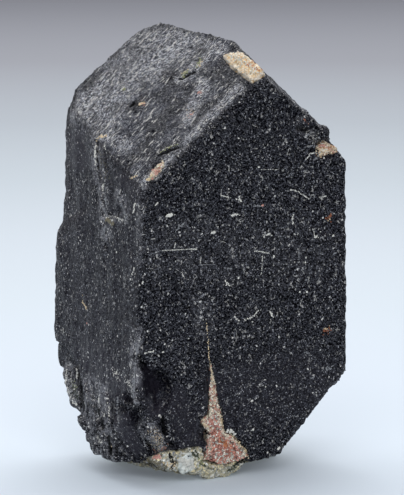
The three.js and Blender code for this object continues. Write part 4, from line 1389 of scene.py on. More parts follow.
MARKS: dict[str, Mark] = {
    "moss by the quartz": Mark(Shade.MOSS, ((192.5, 452), (198.5, 456)), 0.14, 0.8, 1.6, 5),
    "moss in the crust": Mark(Shade.MOSS, ((198, 463.5), (206, 466)), 0.12, 0.7, 1.0, 2),
    "green in the crust": Mark(Shade.GREEN, ((199, 461), (207, 463)), 0.14, 0.7, 1.4, 3),
    "dark end of the crust": Mark(Shade.MOSS, ((229, 471), (234, 467), (240, 462)), 0.13, 0.8, 1.3, 4),
    "black end of the crust": Mark(Shade.BLACK, ((232, 468.5), (238, 462.5), (247, 460)), 0.13, 0.9, 0.6, 3),
    "olive edge of the crust": Mark(Shade.OLIVE, ((144, 462), (158, 464), (166, 467)), 0.16, 0.9, 1.6, 6),
    "grey in the left crust": Mark(Shade.GREY, ((148, 464), (164, 466)), 0.14, 0.6, 1.6, 3),
    "black in the left crust": Mark(Shade.BLACK, ((168, 454), (172.5, 461), (173, 468)), 0.16, 0.8, 1.3, 5),
    "white in the left crust": Mark(Shade.WHITE, ((165, 459), (168, 464), (175, 467)), 0.16, 0.7, 1.2, 3),
    "cream in the left crust": Mark(Shade.CREAM, ((163, 461), (170, 466), (176, 464)), 0.16, 0.7, 1.4, 3),
    "bluish grain": Mark(Shade.GREY, ((174, 453), (175.5, 458)), 0.16, 0.9, 0.9, 3),
    "white by the quartz": Mark(Shade.WHITE, ((180.5, 459.5), (186, 464), (193.5, 464.5)), 0.2, 0.9, 1.8, 6),
    "amber in the wedge": Mark(Shade.AMBER, ((221, 441), (226, 443), (231, 446.5)), 0.12, 0.7, 1.6, 3),
    "rust in the wedge": Mark(Shade.RUST, ((222, 443), (228, 444)), 0.1, 0.6, 1.4, 2),
    "cream round the wedge's foot": Mark(
        Shade.CREAM, ((224, 430), (233, 436), (243, 447), (248, 456)), 0.11, 0.8, 0.8, 2
    ),
    "white round the wedge's foot": Mark(Shade.WHITE, ((229.5, 431), (235, 434)), 0.14, 0.6, 0.7, 2),
    "pink over the wedge's edge": Mark(Shade.PINK, ((208.6, 440), (207, 452), (210, 461)), 0.11, 0.8, 0.9, 2),
    "black joints in the wedge": Mark(
        Shade.BLACK, ((213, 402), (215, 416), (212, 433), (224, 452)), 0.07, 0.3, 3.0, 2
    ),
    # Painted light: the grey and white facet chips in the vug, down to the bluish facet, are painted
    # highlights and glints.
    "facet below the gap": Mark(
        Shade.GREY, ((304.6, 136.8), (307.6, 134.4), (310.4, 132.6)), 0.11, 0.9, 0.6, 3
    ),
    "facets in the vug": Mark(Shade.GREY, ((309, 130), (314, 135), (319, 142)), 0.11, 0.7, 2.0, 5),
    "white facets in the vug": Mark(Shade.WHITE, ((309, 132), (314, 136), (318, 143)), 0.085, 0.55, 2.2, 6),
    # painted shade between the vug's facets
    "black between the facets": Mark(Shade.BLACK, ((307, 130), (312, 139), (319, 146)), 0.09, 0.6, 2.4, 4),
    "slate in the vug": Mark(Shade.SLATE, ((300, 122), (306, 126), (312, 126)), 0.2, 0.7, 1.8, 3),
    "bluish facet": Mark(Shade.GREY, ((308.6, 147), (311, 145.6), (314.6, 147.4)), 0.1, 0.8, 0.6, 3),
    "claw, upper": Mark(Shade.WHITE, ((307.5, 158), (310, 153.6), (316.5, 152.8)), 0.09, 0.9, 0.3, 2),
    "claw, lower": Mark(Shade.GREY, ((316.4, 158.6), (318, 154.8)), 0.12, 0.9, 0.4, 2),
    "rust at the outline": Mark(Shade.RUST, ((304.4, 120), (307.4, 123.6)), 0.11, 0.8, 0.5, 2),
    "cream over the tan grain": Mark(Shade.CREAM, ((318.6, 154), (322, 150), (328, 151)), 0.12, 0.8, 1.4, 5),
    "white over the tan grain": Mark(Shade.WHITE, ((320, 156), (322, 151), (328, 149.6)), 0.11, 0.7, 1.5, 4),
    "white line by the groove": Mark(
        Shade.WHITE, ((95.6, 145.4), (94.8, 154), (95.4, 164.4)), 0.13, 0.9, 0.4, 2
    ),
    "grey line by the groove": Mark(Shade.GREY, ((96, 166), (97.5, 178)), 0.1, 0.7, 0.6, 2),
    "white cluster on the shoulder": Mark(
        Shade.CREAM, ((96.8, 139.6), (101, 136), (106.6, 136.4)), 0.13, 0.7, 0.9, 2
    ),
    "white drops by the groove": Mark(Shade.WHITE, ((104.4, 145), (104.8, 149.4)), 0.1, 0.8, 0.5, 2),
    "olive in the groove": Mark(Shade.OLIVE, ((100, 150), (103, 165), (106, 180)), 0.08, 0.5, 2.6, 3),
    "right line of the groove": Mark(Shade.GREY, ((109.4, 156), (111.6, 163), (111.4, 171)), 0.09, 0.7, 0.4),
    "bright drop in the groove": Mark(Shade.WHITE, ((103.2, 184.6), (102.6, 190.4)), 0.15, 0.95, 0.4, 2),
    "streak below the drop": Mark(Shade.GREY, ((104.6, 195.4), (107.4, 204.6)), 0.14, 0.9, 0.6, 2),
    "long streak below it": Mark(
        Shade.GREY, ((100.4, 202.6), (104.4, 209.4), (107, 215.6)), 0.13, 0.9, 0.5, 2
    ),
    "pale node": Mark(Shade.OLIVE, ((106.4, 219.4), (109.6, 221.4), (113.4, 223.4)), 0.2, 0.95, 0.9, 3),
    "white on the node": Mark(Shade.WHITE, ((105.8, 217.6), (108, 220.4), (112.6, 220.2)), 0.12, 0.8, 0.7, 2),
    "blob below the node": Mark(Shade.GREY, ((104.6, 226), (104.2, 235)), 0.16, 0.9, 0.7, 2),
    "V, left": Mark(Shade.GREY, ((119.4, 192), (117, 199), (114, 206)), 0.1, 0.7, 0.7, 2),
    "V, right": Mark(Shade.GREY, ((121, 204), (124.4, 212), (126.6, 218.4)), 0.11, 0.8, 1.0, 3),
    "V, bottom": Mark(Shade.WHITE, ((113.4, 216), (118.6, 218.6), (124.6, 221.4)), 0.1, 0.8, 0.6, 2),
    "bent line by the edge": Mark(
        Shade.WHITE, ((133.6, 212), (135, 203.8), (139.6, 206.2)), 0.11, 0.9, 0.4, 2
    ),
    "violet patch on the left face": Mark(
        Shade.GREY, ((98, 243), (104, 243.6), (111, 245.4)), 0.09, 0.7, 1.2, 3
    ),
    "pale corner speckles": Mark(Shade.CREAM, ((130.6, 179), (134, 177), (137.4, 176.4)), 0.11, 0.7, 0.9, 2),
    "amber in the patch": Mark(Shade.AMBER, ((247, 62), (254, 66), (260, 71)), 0.12, 0.6, 2.2, 3),
    "white in the patch": Mark(Shade.WHITE, ((228, 58), (238, 59), (248, 64), (258, 74)), 0.12, 0.6, 2.2, 3),
    "cream down the wedge": Mark(Shade.CREAM, ((211, 370), (213.6, 390), (214.6, 408)), 0.09, 0.8, 0.6, 2),
    "white speck near the peak": Mark(Shade.WHITE, ((149.5, 39.6), (150.8, 40.4)), 0.16),
    "bright streak on the roof": Mark(Shade.WHITE, ((168.8, 48.6), (172.8, 46.4)), 0.1),
    "bright streak below it": Mark(Shade.WHITE, ((160, 81.4), (164, 78.8)), 0.1),
    "green speck on the roof": Mark(Shade.GREEN, ((124, 88.9), (124.9, 88.5)), 0.2),
    "pale arc left of it": Mark(
        Shade.WHITE, ((119.6, 84.6), (122.4, 86.6), (121.4, 90.4), (117.4, 92.2)), 0.08, 0.85, 0.4, 2
    ),
    "tan grain beside the pit": Mark(Shade.CREAM, ((139, 104.4), (143.6, 102.6)), 0.12, 0.8, 0.9, 4),
    "green grain left": Mark(Shade.GREEN, ((182.6, 77), (184.4, 73.6), (187.2, 71.4)), 0.11, 0.8, 0.8, 3),
    "green grain right": Mark(Shade.GREEN, ((196, 67.4), (199, 63), (201.4, 57.6)), 0.11, 0.8, 0.7, 3),
    "crack in the roof": Mark(Shade.BLACK, ((180.3, 80), (188, 76), (195.6, 72.4)), 0.16, 0.9),
    "pink speck on the roof": Mark(Shade.PINK, ((198, 93.6), (201.2, 91.8)), 0.1, 0.8, 0.6, 3),
    "pink speck lower": Mark(Shade.PINK, ((189, 116.4), (192.4, 113.6)), 0.1, 0.8, 0.8, 3),
    "greenish streak at the edge": Mark(
        Shade.GREEN, ((160.2, 151.8), (170.4, 147.4), (179.4, 144.2)), 0.09, 0.65, 0.6, 2
    ),
    "line under the streak": Mark(Shade.BLACK, ((162, 154.4), (171, 150.2), (180, 147)), 0.14, 0.9),
    "cream grains up the edge": Mark(Shade.CREAM, ((163.8, 161.9), (158, 166.4)), 0.18),
    "cream grains down the edge": Mark(Shade.CREAM, ((152, 175), (146.6, 180)), 0.2, 0.9),
    "pale corner": Mark(Shade.GREY, ((142.8, 184), (142.8, 188.6)), 0.18),
    "cream speck at the left shoulder": Mark(Shade.CREAM, ((101.4, 136.8), (102.6, 136.2)), 0.2),
    "dash by the outline": Mark(Shade.GREY, ((83.4, 168.6), (83, 171.6)), 0.12),
    "speck on the left face": Mark(Shade.GREY, ((87, 201.2), (87.6, 202)), 0.14),
    "speck at the corner": Mark(Shade.GREY, ((133, 178.4), (133.6, 178)), 0.14),
    "speck under the corner": Mark(Shade.GREY, ((137.2, 204.4), (137.9, 203.6)), 0.15),
    "dash under the corner": Mark(Shade.WHITE, ((134.2, 205), (133.2, 210.7)), 0.12),
    "white spot on the left face": Mark(Shade.WHITE, ((116, 252.6), (117, 252)), 0.16),
    "dash near the front edge": Mark(Shade.WHITE, ((134.2, 268), (132.3, 274.8)), 0.13),
    "speck on the front edge": Mark(Shade.WHITE, ((142.4, 282.8), (143.2, 282)), 0.15),
    "speck below it": Mark(Shade.GREY, ((132, 290.4), (132.7, 289.8)), 0.14),
    "cream streak": Mark(Shade.CREAM, ((82.5, 295), (82.5, 302.5), (86.8, 307.8)), 0.16),
    "pale dash above the streak": Mark(Shade.GREY, ((86.3, 282.5), (79.7, 288.2)), 0.12),
    "pink spot": Mark(Shade.PINK, ((85.8, 324.6), (86.8, 323.6)), 0.18),
    "dash at the outline": Mark(Shade.WHITE, ((63.6, 329), (63.4, 333.4)), 0.14),
    "rough cluster": Mark(Shade.WHITE, ((113, 369), (116.1, 372.8), (118, 376.8)), 0.09, 0.7, 1.6, 4),
    "grey on the flake": Mark(Shade.GREY, ((67, 371), (70, 385), (74, 401)), 0.1, 0.8, 2.2, 5),
    "white on the flake": Mark(Shade.WHITE, ((66.4, 370), (66, 378), (65.6, 384)), 0.1, 0.85, 0.4, 3),
    "white tip of the flake": Mark(Shade.WHITE, ((76.6, 369), (77.2, 373), (76.8, 378)), 0.1, 0.9, 0.4, 3),
    "white in its middle": Mark(Shade.WHITE, ((70.8, 373), (71.6, 382), (74.6, 390)), 0.09, 0.6, 0.8, 3),
    "green on the flake": Mark(Shade.GREEN, ((74, 383), (76, 388)), 0.11, 0.7, 1.0, 2),
    # painted highlights along the ridge
    "white down the ridge": Mark(Shade.WHITE, ((108, 397), (109, 408), (109, 421)), 0.09, 0.4, 0.5, 2),
    "white dash by the upper slot": Mark(Shade.WHITE, ((98.6, 398.4), (98.6, 402)), 0.12, 0.9, 0.3, 2),
    "white speck by the slots": Mark(Shade.WHITE, ((104.2, 413.8), (104.4, 416)), 0.12, 0.9, 0.3, 2),
    "grey on the undercut's rib": Mark(Shade.GREY, ((118, 397), (117, 410), (119, 423)), 0.1, 0.8, 0.5, 2),
    "white cluster in the foot": Mark(Shade.WHITE, ((97.6, 437.6), (101.6, 442.6)), 0.09, 0.7, 1.1, 4),
    "grey low in the foot": Mark(Shade.GREY, ((92, 430), (98, 446), (104, 454)), 0.08, 0.5, 3.0, 4),
    "grey over the foot": Mark(Shade.GREY, ((100, 398), (107, 420), (113, 440)), 0.07, 0.5, 4.0, 4),
    "white over the front edge": Mark(
        Shade.WHITE, ((126, 378), (128.6, 384), (131.6, 386)), 0.1, 0.8, 1.2, 2
    ),
    "grey along the front edge": Mark(Shade.GREY, ((130, 388), (135, 400), (139, 408)), 0.09, 0.7, 1.2, 3),
    # a painted glint
    "glint in the blob": Mark(Shade.WHITE, ((138.4, 355.6), (139.2, 355.4)), 0.1, 0.9),
    "ring in the blob": Mark(Shade.GREY, ((139.4, 359.6), (141.6, 358.6), (142.6, 360.4)), 0.08, 0.9),
    "grey right of the blob": Mark(Shade.GREY, ((150, 358), (156, 366), (158, 360)), 0.08, 0.6, 1.6, 3),
    "white grain above the slit": Mark(Shade.WHITE, ((159.8, 415.6), (160.8, 416.4)), 0.18, 0.95),
    "grey beside the slit": Mark(Shade.GREY, ((166, 412), (168, 424), (170, 436)), 0.08, 0.6, 1.2, 2),
    "front edge by the pit": Mark(Shade.GREY, ((134.6, 364.2), (134.8, 380), (133.5, 396.7)), 0.16, 0.7),
    "front edge above the pit": Mark(Shade.GREY, ((138.6, 343), (137, 352), (135.6, 361)), 0.14, 0.6),
    "white arc over the pit": Mark(Shade.WHITE, ((144.3, 353.4), (154, 351), (163.3, 352)), 0.11),
    "dusty lump": Mark(Shade.TAN, ((152, 433), (158, 440), (162, 447)), 0.07, 0.6, 3.2, 7),
    "grey on the lump": Mark(Shade.GREY, ((150, 434), (157, 440), (162, 449)), 0.07, 0.7, 3.6, 8),
    "rust by the lump": Mark(Shade.RUST, ((161.6, 450), (164.8, 447.6)), 0.09, 0.9, 1.0, 3),
    "pink grain at the foot": Mark(Shade.PINK, ((155, 457.6), (159.4, 455.4)), 0.2, 0.95, 1.0, 3),
    "slivers by the pit": Mark(Shade.GREY, ((142.2, 436.8), (144.6, 440.6), (147.6, 444.4)), 0.14),
    "white diamond": Mark(Shade.WHITE, ((167.6, 215.2), (171.4, 214.8)), 0.25, 0.95, 0.3, 2),
    "diamond's tail": Mark(Shade.WHITE, ((171, 214.8), (175, 215)), 0.09),
    "long line on the front": Mark(
        Shade.WHITE, ((162.6, 250.6), (178, 249.8), (196, 248.8)), 0.075, 0.9, 0.1, 2
    ),
    "tick above the line": Mark(Shade.WHITE, ((175.3, 243.2), (174.4, 247.5)), 0.08, 0.9, 0.15, 2),
    "slanting dash": Mark(Shade.GREY, ((178.2, 228.9), (184, 223)), 0.12),
    "line near the top": Mark(Shade.WHITE, ((261.6, 169.5), (279.4, 169.5)), 0.065, 0.8, 0.15),
    "speck at its left": Mark(Shade.WHITE, ((257.4, 167.6), (258.4, 167.2)), 0.15),
    "upright dash near the top": Mark(Shade.WHITE, ((228.9, 165.3), (228.9, 171.6)), 0.09),
    "wavy line at the right": Mark(
        Shade.WHITE, ((300.6, 193.8), (304.4, 195.8), (308.6, 198.8)), 0.08, 0.9, 0.15, 2
    ),
    "dash in the middle": Mark(Shade.WHITE, ((221.2, 195.6), (224, 196), (230, 197.8)), 0.085, 0.85, 0.25, 2),
    "speck beside it": Mark(Shade.WHITE, ((239.4, 197.6), (241.2, 201.8)), 0.11, 0.9, 0.4, 2),
    "pink speck on the front": Mark(Shade.PINK, ((262.2, 205.5), (263, 204.9)), 0.16),
    "short dash": Mark(Shade.WHITE, ((231.6, 215.6), (235, 213.9), (239.6, 215)), 0.11, 0.9, 0.4, 2),
    "big white speck": Mark(Shade.WHITE, ((212, 233.2), (214.4, 232)), 0.22, 0.95),
    "dash above it": Mark(Shade.WHITE, ((217.9, 226.3), (222.1, 225.2)), 0.11),
    "grey smear": Mark(Shade.WHITE, ((263.6, 236.6), (266.6, 234.4), (271.2, 234.8)), 0.1, 0.7, 0.7, 3),
    "upright dash at the right": Mark(
        Shade.WHITE, ((293, 215.2), (292.4, 218.6), (293.4, 223.6)), 0.09, 0.9, 0.3, 2
    ),
    "rust at the right edge": Mark(Shade.RUST, ((327, 219), (330.6, 215.4)), 0.11, 0.8, 1.3, 4),
    "cream in the rust": Mark(Shade.CREAM, ((328, 220), (330, 217.6)), 0.1, 0.8, 0.8, 2),
    "speck by the rust": Mark(Shade.WHITE, ((315.4, 237.6), (316.2, 237)), 0.14),
    "speck above it": Mark(Shade.WHITE, ((320.1, 231.9), (320.9, 231.3)), 0.13),
    "speck right of it": Mark(Shade.WHITE, ((332.7, 236.1), (333.5, 235.5)), 0.14),
    "line's far end": Mark(Shade.WHITE, ((190, 249.4), (196.3, 249.4)), 0.12),
    "foot of the L": Mark(Shade.GREY, ((199.6, 264.7), (214.3, 264.4)), 0.075, 0.85, 0.1, 2),
    "stem of the L": Mark(Shade.WHITE, ((200.6, 257.9), (199.8, 264.2)), 0.07, 0.9, 0.15),
    "line in the middle": Mark(Shade.WHITE, ((255.2, 251), (262, 251.8), (269, 253.4)), 0.08, 0.85, 0.2, 2),
    "upright line": Mark(Shade.WHITE, ((262.4, 256.4), (262, 266), (261, 275.6)), 0.075, 0.85, 0.2, 2),
    "upper speck of three": Mark(Shade.WHITE, ((305.4, 258.2), (306.2, 257.6)), 0.13),
    "lower speck of three": Mark(Shade.WHITE, ((304.3, 262.9), (305.1, 262.3)), 0.13),
    "speck beside the line": Mark(Shade.WHITE, ((273.3, 256.9), (274.1, 256.3)), 0.13),
    "speck near the right edge": Mark(Shade.GREY, ((334.8, 253.4), (335.6, 252.8)), 0.15),
    "speck under the L": Mark(Shade.GREY, ((225.4, 268.2), (231.6, 268.6)), 0.1, 0.9, 0.3, 2),
    "speck in the middle": Mark(Shade.WHITE, ((238.5, 278.2), (239.3, 277.6)), 0.14),
    "speck lower left": Mark(Shade.WHITE, ((224.4, 280.6), (227, 283.6), (229.6, 285.4)), 0.11, 0.75, 0.6, 2),
    "pair of specks, left": Mark(Shade.WHITE, ((300.1, 291.8), (300.9, 291.2)), 0.13),
    "pair of specks, right": Mark(Shade.WHITE, ((306.9, 291.8), (307.7, 291.2)), 0.13),
    "speck above the pair": Mark(Shade.GREY, ((305.4, 280.3), (306.2, 279.7)), 0.13),
    "speck by the right edge": Mark(Shade.GREY, ((328.5, 289.7), (329.3, 289.1)), 0.14),
    "hairline above the wedge": Mark(
        Shade.CREAM, ((206.3, 321.9), (207.9, 338.2), (209, 356.6), (210.6, 368.5)), 0.09, 0.9
    ),
    "specks at the hairline's top": Mark(Shade.WHITE, ((204.1, 320.8), (201.4, 317.6)), 0.1, 0.8),
    "speck right of the hairline": Mark(Shade.WHITE, ((270.6, 312.4), (272.6, 316.4)), 0.12, 0.85, 0.5, 2),
    "dashed line": Mark(
        Shade.WHITE, ((244.6, 320), (250, 318.4), (254.4, 315.6), (258.4, 310.6)), 0.09, 0.75, 0.4, 2
    ),
    "rust low at the right": Mark(Shade.RUST, ((325, 332), (329, 328.4)), 0.11, 0.8, 1.5, 4),
    "cream in the low rust": Mark(Shade.CREAM, ((325.4, 329.4), (328, 327.6)), 0.1, 0.8, 0.8, 2),
    "speck low in the middle": Mark(Shade.WHITE, ((278.5, 337.4), (279.3, 336.8)), 0.13),
    "lone speck": Mark(Shade.WHITE, ((265.5, 386.7), (266.3, 386.1)), 0.14),
    "speck left of it": Mark(Shade.GREY, ((240, 375.3), (240.8, 374.7)), 0.13),
    "speck low": Mark(Shade.WHITE, ((251.4, 401.4), (252.2, 400.8)), 0.14),
    "speck lower": Mark(Shade.WHITE, ((254.6, 412.8), (255.4, 412.2)), 0.14),
    "lowest speck": Mark(Shade.WHITE, ((252.5, 430.1), (253.3, 429.5)), 0.15),
    "white dot low at the right": Mark(Shade.WHITE, ((299.1, 383.8), (299.9, 383.2)), 0.17),
    "dash beside the dot": Mark(Shade.GREY, ((310.9, 377.8), (315.8, 376.1)), 0.12),
    "faint line": Mark(Shade.GREY, ((226.9, 397.8), (235.6, 394), (244.2, 390.2)), 0.08, 0.7),
    "dash at the lower edge": Mark(Shade.GREY, ((281.1, 407), (290.8, 404.3)), 0.1, 0.7),
    "pale patch at the right": Mark(Shade.GREY, ((324, 371), (328, 368.6), (333, 367)), 0.1, 0.6, 1.4, 3),
    "pale patch left of it": Mark(Shade.GREY, ((306.8, 354.2), (309.6, 352.6)), 0.1, 0.7, 1.2, 3),
    "faint level line": Mark(Shade.GREY, ((217.1, 372.3), (233.4, 372.3)), 0.07, 0.6),
    "pale spot at the bottom": Mark(Shade.WHITE, ((278.1, 448.6), (279.7, 447.8)), 0.2, 0.9),
    "long line's left end": Mark(Shade.GREY, ((150, 255), (155, 252.6), (162, 251)), 0.08, 0.7, 0.3),
    "dotted line below it": Mark(Shade.GREY, ((238, 276), (248, 275.2), (260, 275.6)), 0.07, 0.7, 0.3),
    "faint upright line left": Mark(Shade.GREY, ((247.6, 241), (247.4, 255)), 0.065, 0.6, 0.4),
    "faint upright line by it": Mark(Shade.GREY, ((255, 262), (254.6, 273)), 0.065, 0.7, 0.3),
    "faint upright line right": Mark(Shade.GREY, ((299.4, 247), (298.4, 262)), 0.075, 0.7, 0.5, 2),
    "wavy line, left": Mark(Shade.WHITE, ((291, 190), (295, 190.6), (299.6, 192)), 0.09, 0.95, 0.2, 2),
    "hook right of it": Mark(Shade.WHITE, ((321, 199.2), (322.4, 196.8), (326, 196.2)), 0.08, 0.9, 0.15, 2),
    "cluster right of it": Mark(Shade.GREY, ((248, 206.4), (256, 205.2), (262, 206.6)), 0.1, 0.6, 0.9, 2),
    "pair right of it": Mark(Shade.WHITE, ((313.6, 230), (314.6, 236), (318, 237.8)), 0.09, 0.75, 0.5, 2),
    "arc above the long line": Mark(
        Shade.GREY, ((175.4, 231.6), (178.6, 226.6), (184.6, 223.4)), 0.09, 0.8, 0.4, 2
    ),
    "faint dash under the big speck": Mark(Shade.GREY, ((216, 238.6), (221, 236.6)), 0.08, 0.8, 0.3),
    "speck at the left of the front": Mark(Shade.WHITE, ((155.4, 205.6), (157.2, 203)), 0.12, 0.9, 0.3, 2),
    "specks under the long line": Mark(Shade.WHITE, ((181.6, 272.4), (183.4, 276.6)), 0.1, 0.8, 0.4, 2),
    "specks left of it": Mark(Shade.WHITE, ((234.6, 317), (238.4, 319.6)), 0.1, 0.7, 0.6, 2),
    "white rim of the flake": Mark(
        Shade.WHITE, ((66, 384), (69, 393), (73.6, 401), (76.6, 405)), 0.1, 0.6, 0.9, 4
    ),
    # painted shade in the gaps between the flake's teeth
    "dark between its teeth": Mark(Shade.BLACK, ((69, 374), (69.6, 384), (73.6, 396)), 0.1, 0.6, 1.6, 3),
    "moss on the flake": Mark(Shade.MOSS, ((73, 380), (74.6, 388), (77, 400)), 0.12, 0.6, 1.2, 3),
    # painted shadow in the gap behind the flake
    "black gap behind the flake": Mark(
        Shade.BLACK, ((79.4, 373), (81.2, 386), (82.8, 398), (84.2, 408)), 0.15, 0.95, 0.4, 3
    ),
    # painted shade in the upper slot
    "black in the upper slot": Mark(
        Shade.BLACK, ((96.4, 405.6), (98.4, 411), (99.6, 416)), 0.14, 0.95, 0.4, 3
    ),
    # painted shade in the lower slot
    "black in the lower slot": Mark(
        Shade.BLACK, ((101, 418.6), (102.4, 423), (103.4, 428.6)), 0.14, 0.95, 0.4, 3
    ),
    # painted shade in the upright slit
    "black in the upright slit": Mark(
        Shade.BLACK, ((108.6, 436.6), (110.4, 444), (111.2, 452)), 0.16, 0.95, 0.6, 4
    ),
    # painted shade in the slit right of it
    "black right of it": Mark(Shade.BLACK, ((115.6, 446), (117.6, 452)), 0.12, 0.85, 0.4, 2),
    # painted shade in the gap beside the splinter
    "black beside the splinter": Mark(
        Shade.BLACK, ((145, 437), (148.2, 443), (150.6, 448.6)), 0.1, 0.9, 0.3, 2
    ),
    # painted shade in the slit above the lump
    "black slit above the lump": Mark(
        Shade.BLACK, ((162.4, 419), (163.6, 426), (164.8, 432.6)), 0.16, 0.95, 0.7, 4
    ),
    "grey on the splinter": Mark(Shade.GREY, ((140.4, 434), (143.6, 441), (147.4, 449)), 0.09, 0.85, 0.3, 2),
    # a painted glint on the facet
    "glint on the facet below": Mark(Shade.WHITE, ((305, 137), (308.6, 134.6)), 0.09, 0.9, 0.3, 2),
    "ring over the gap": Mark(
        Shade.WHITE, ((303.8, 128.4), (305.6, 126.2), (308.4, 126.2)), 0.08, 0.9, 0.2, 2
    ),
    "upper edge of the vug": Mark(
        Shade.GREY, ((311.6, 127.2), (315.2, 130), (320.4, 132.6)), 0.09, 0.8, 0.4, 2
    ),
    "pink over the tan grain": Mark(Shade.PINK, ((319, 146), (323, 145), (333, 152.4)), 0.1, 0.6, 0.9, 3),
    # painted shade in the hole in the tan grain
    "dark hole in the tan grain": Mark(Shade.BLACK, ((321, 152), (321.8, 152.6)), 0.13, 0.95, 0.2, 2),
    # painted shade in the notches round it
    "dark notches round it": Mark(
        Shade.BLACK, ((315.8, 146.6), (317.4, 150.4), (316.8, 155)), 0.15, 0.8, 0.5, 2
    ),
    "dark margin left of the wedge": Mark(
        Shade.SLATE, ((209.6, 372), (208.2, 384), (207.4, 396), (206.6, 406)), 0.15, 0.9, 0.5, 4
    ),
    "dark margin right of the wedge": Mark(
        Shade.SLATE, ((213.6, 370), (216.6, 382), (218.4, 394), (220.6, 406)), 0.15, 0.9, 0.5, 4
    ),
    "black margin left of the wedge": Mark(
        Shade.BLACK, ((209.4, 372), (208.4, 384), (208.2, 400), (206.8, 412)), 0.1, 0.7, 0.6, 3
    ),
    "black margin right of the wedge": Mark(
        Shade.BLACK, ((213.4, 370), (216.2, 382), (217.8, 396), (221, 410)), 0.1, 0.7, 0.6, 3
    ),
    # painted shadow under the wedge's knob
    "black under the wedge's knob": Mark(
        Shade.BLACK, ((200.6, 425), (203.4, 430), (208.6, 435)), 0.13, 0.9, 0.5, 3
    ),
    "cream on the wedge's knob": Mark(Shade.CREAM, ((203, 421), (207, 425), (210, 430)), 0.1, 0.7, 1.4, 3),
    "cream beside the wedge's neck": Mark(
        Shade.CREAM, ((219, 412), (221.6, 420), (222.6, 427)), 0.1, 0.75, 0.7, 3
    ),
    "white grains by the foot": Mark(
        Shade.WHITE, ((227, 432), (231, 430.6), (234.6, 435)), 0.12, 0.8, 0.8, 3
    ),
    "rust joints in the wedge": Mark(
        Shade.RUST, ((214, 418), (213, 434), (222, 450), (238, 456)), 0.06, 0.5, 3.4, 4
    ),
    "olive on the lump": Mark(Shade.OLIVE, ((150, 440), (156, 446), (160, 452)), 0.08, 0.7, 3.2, 6),
    "brown under the lump": Mark(Shade.RUST, ((152, 450), (160, 452), (167, 448)), 0.08, 0.5, 1.8, 3),
    "white bits in the streak": Mark(Shade.WHITE, ((163, 150), (172, 146), (180, 143)), 0.07, 0.5, 0.7, 2),
    "pink by the tan grain": Mark(Shade.PINK, ((140.6, 102), (144.6, 105)), 0.1, 0.7, 0.8, 3),
    # painted shade in the pit by the tan grain
    "black by the tan grain": Mark(
        Shade.BLACK, ((130.6, 105.6), (134.6, 103.6), (137.6, 105.6)), 0.14, 0.9, 0.6, 3
    ),
    "cream by the left grain": Mark(Shade.CREAM, ((183, 73.4), (187, 70.4)), 0.1, 0.7, 0.9, 2),
    "cream by the right grain": Mark(Shade.CREAM, ((199.4, 66.4), (200.4, 61.6)), 0.1, 0.8, 0.6, 2),
    "pale grains round it": Mark(Shade.CREAM, ((187.6, 112), (193, 110), (191, 118)), 0.07, 0.6, 1.6, 2),
}


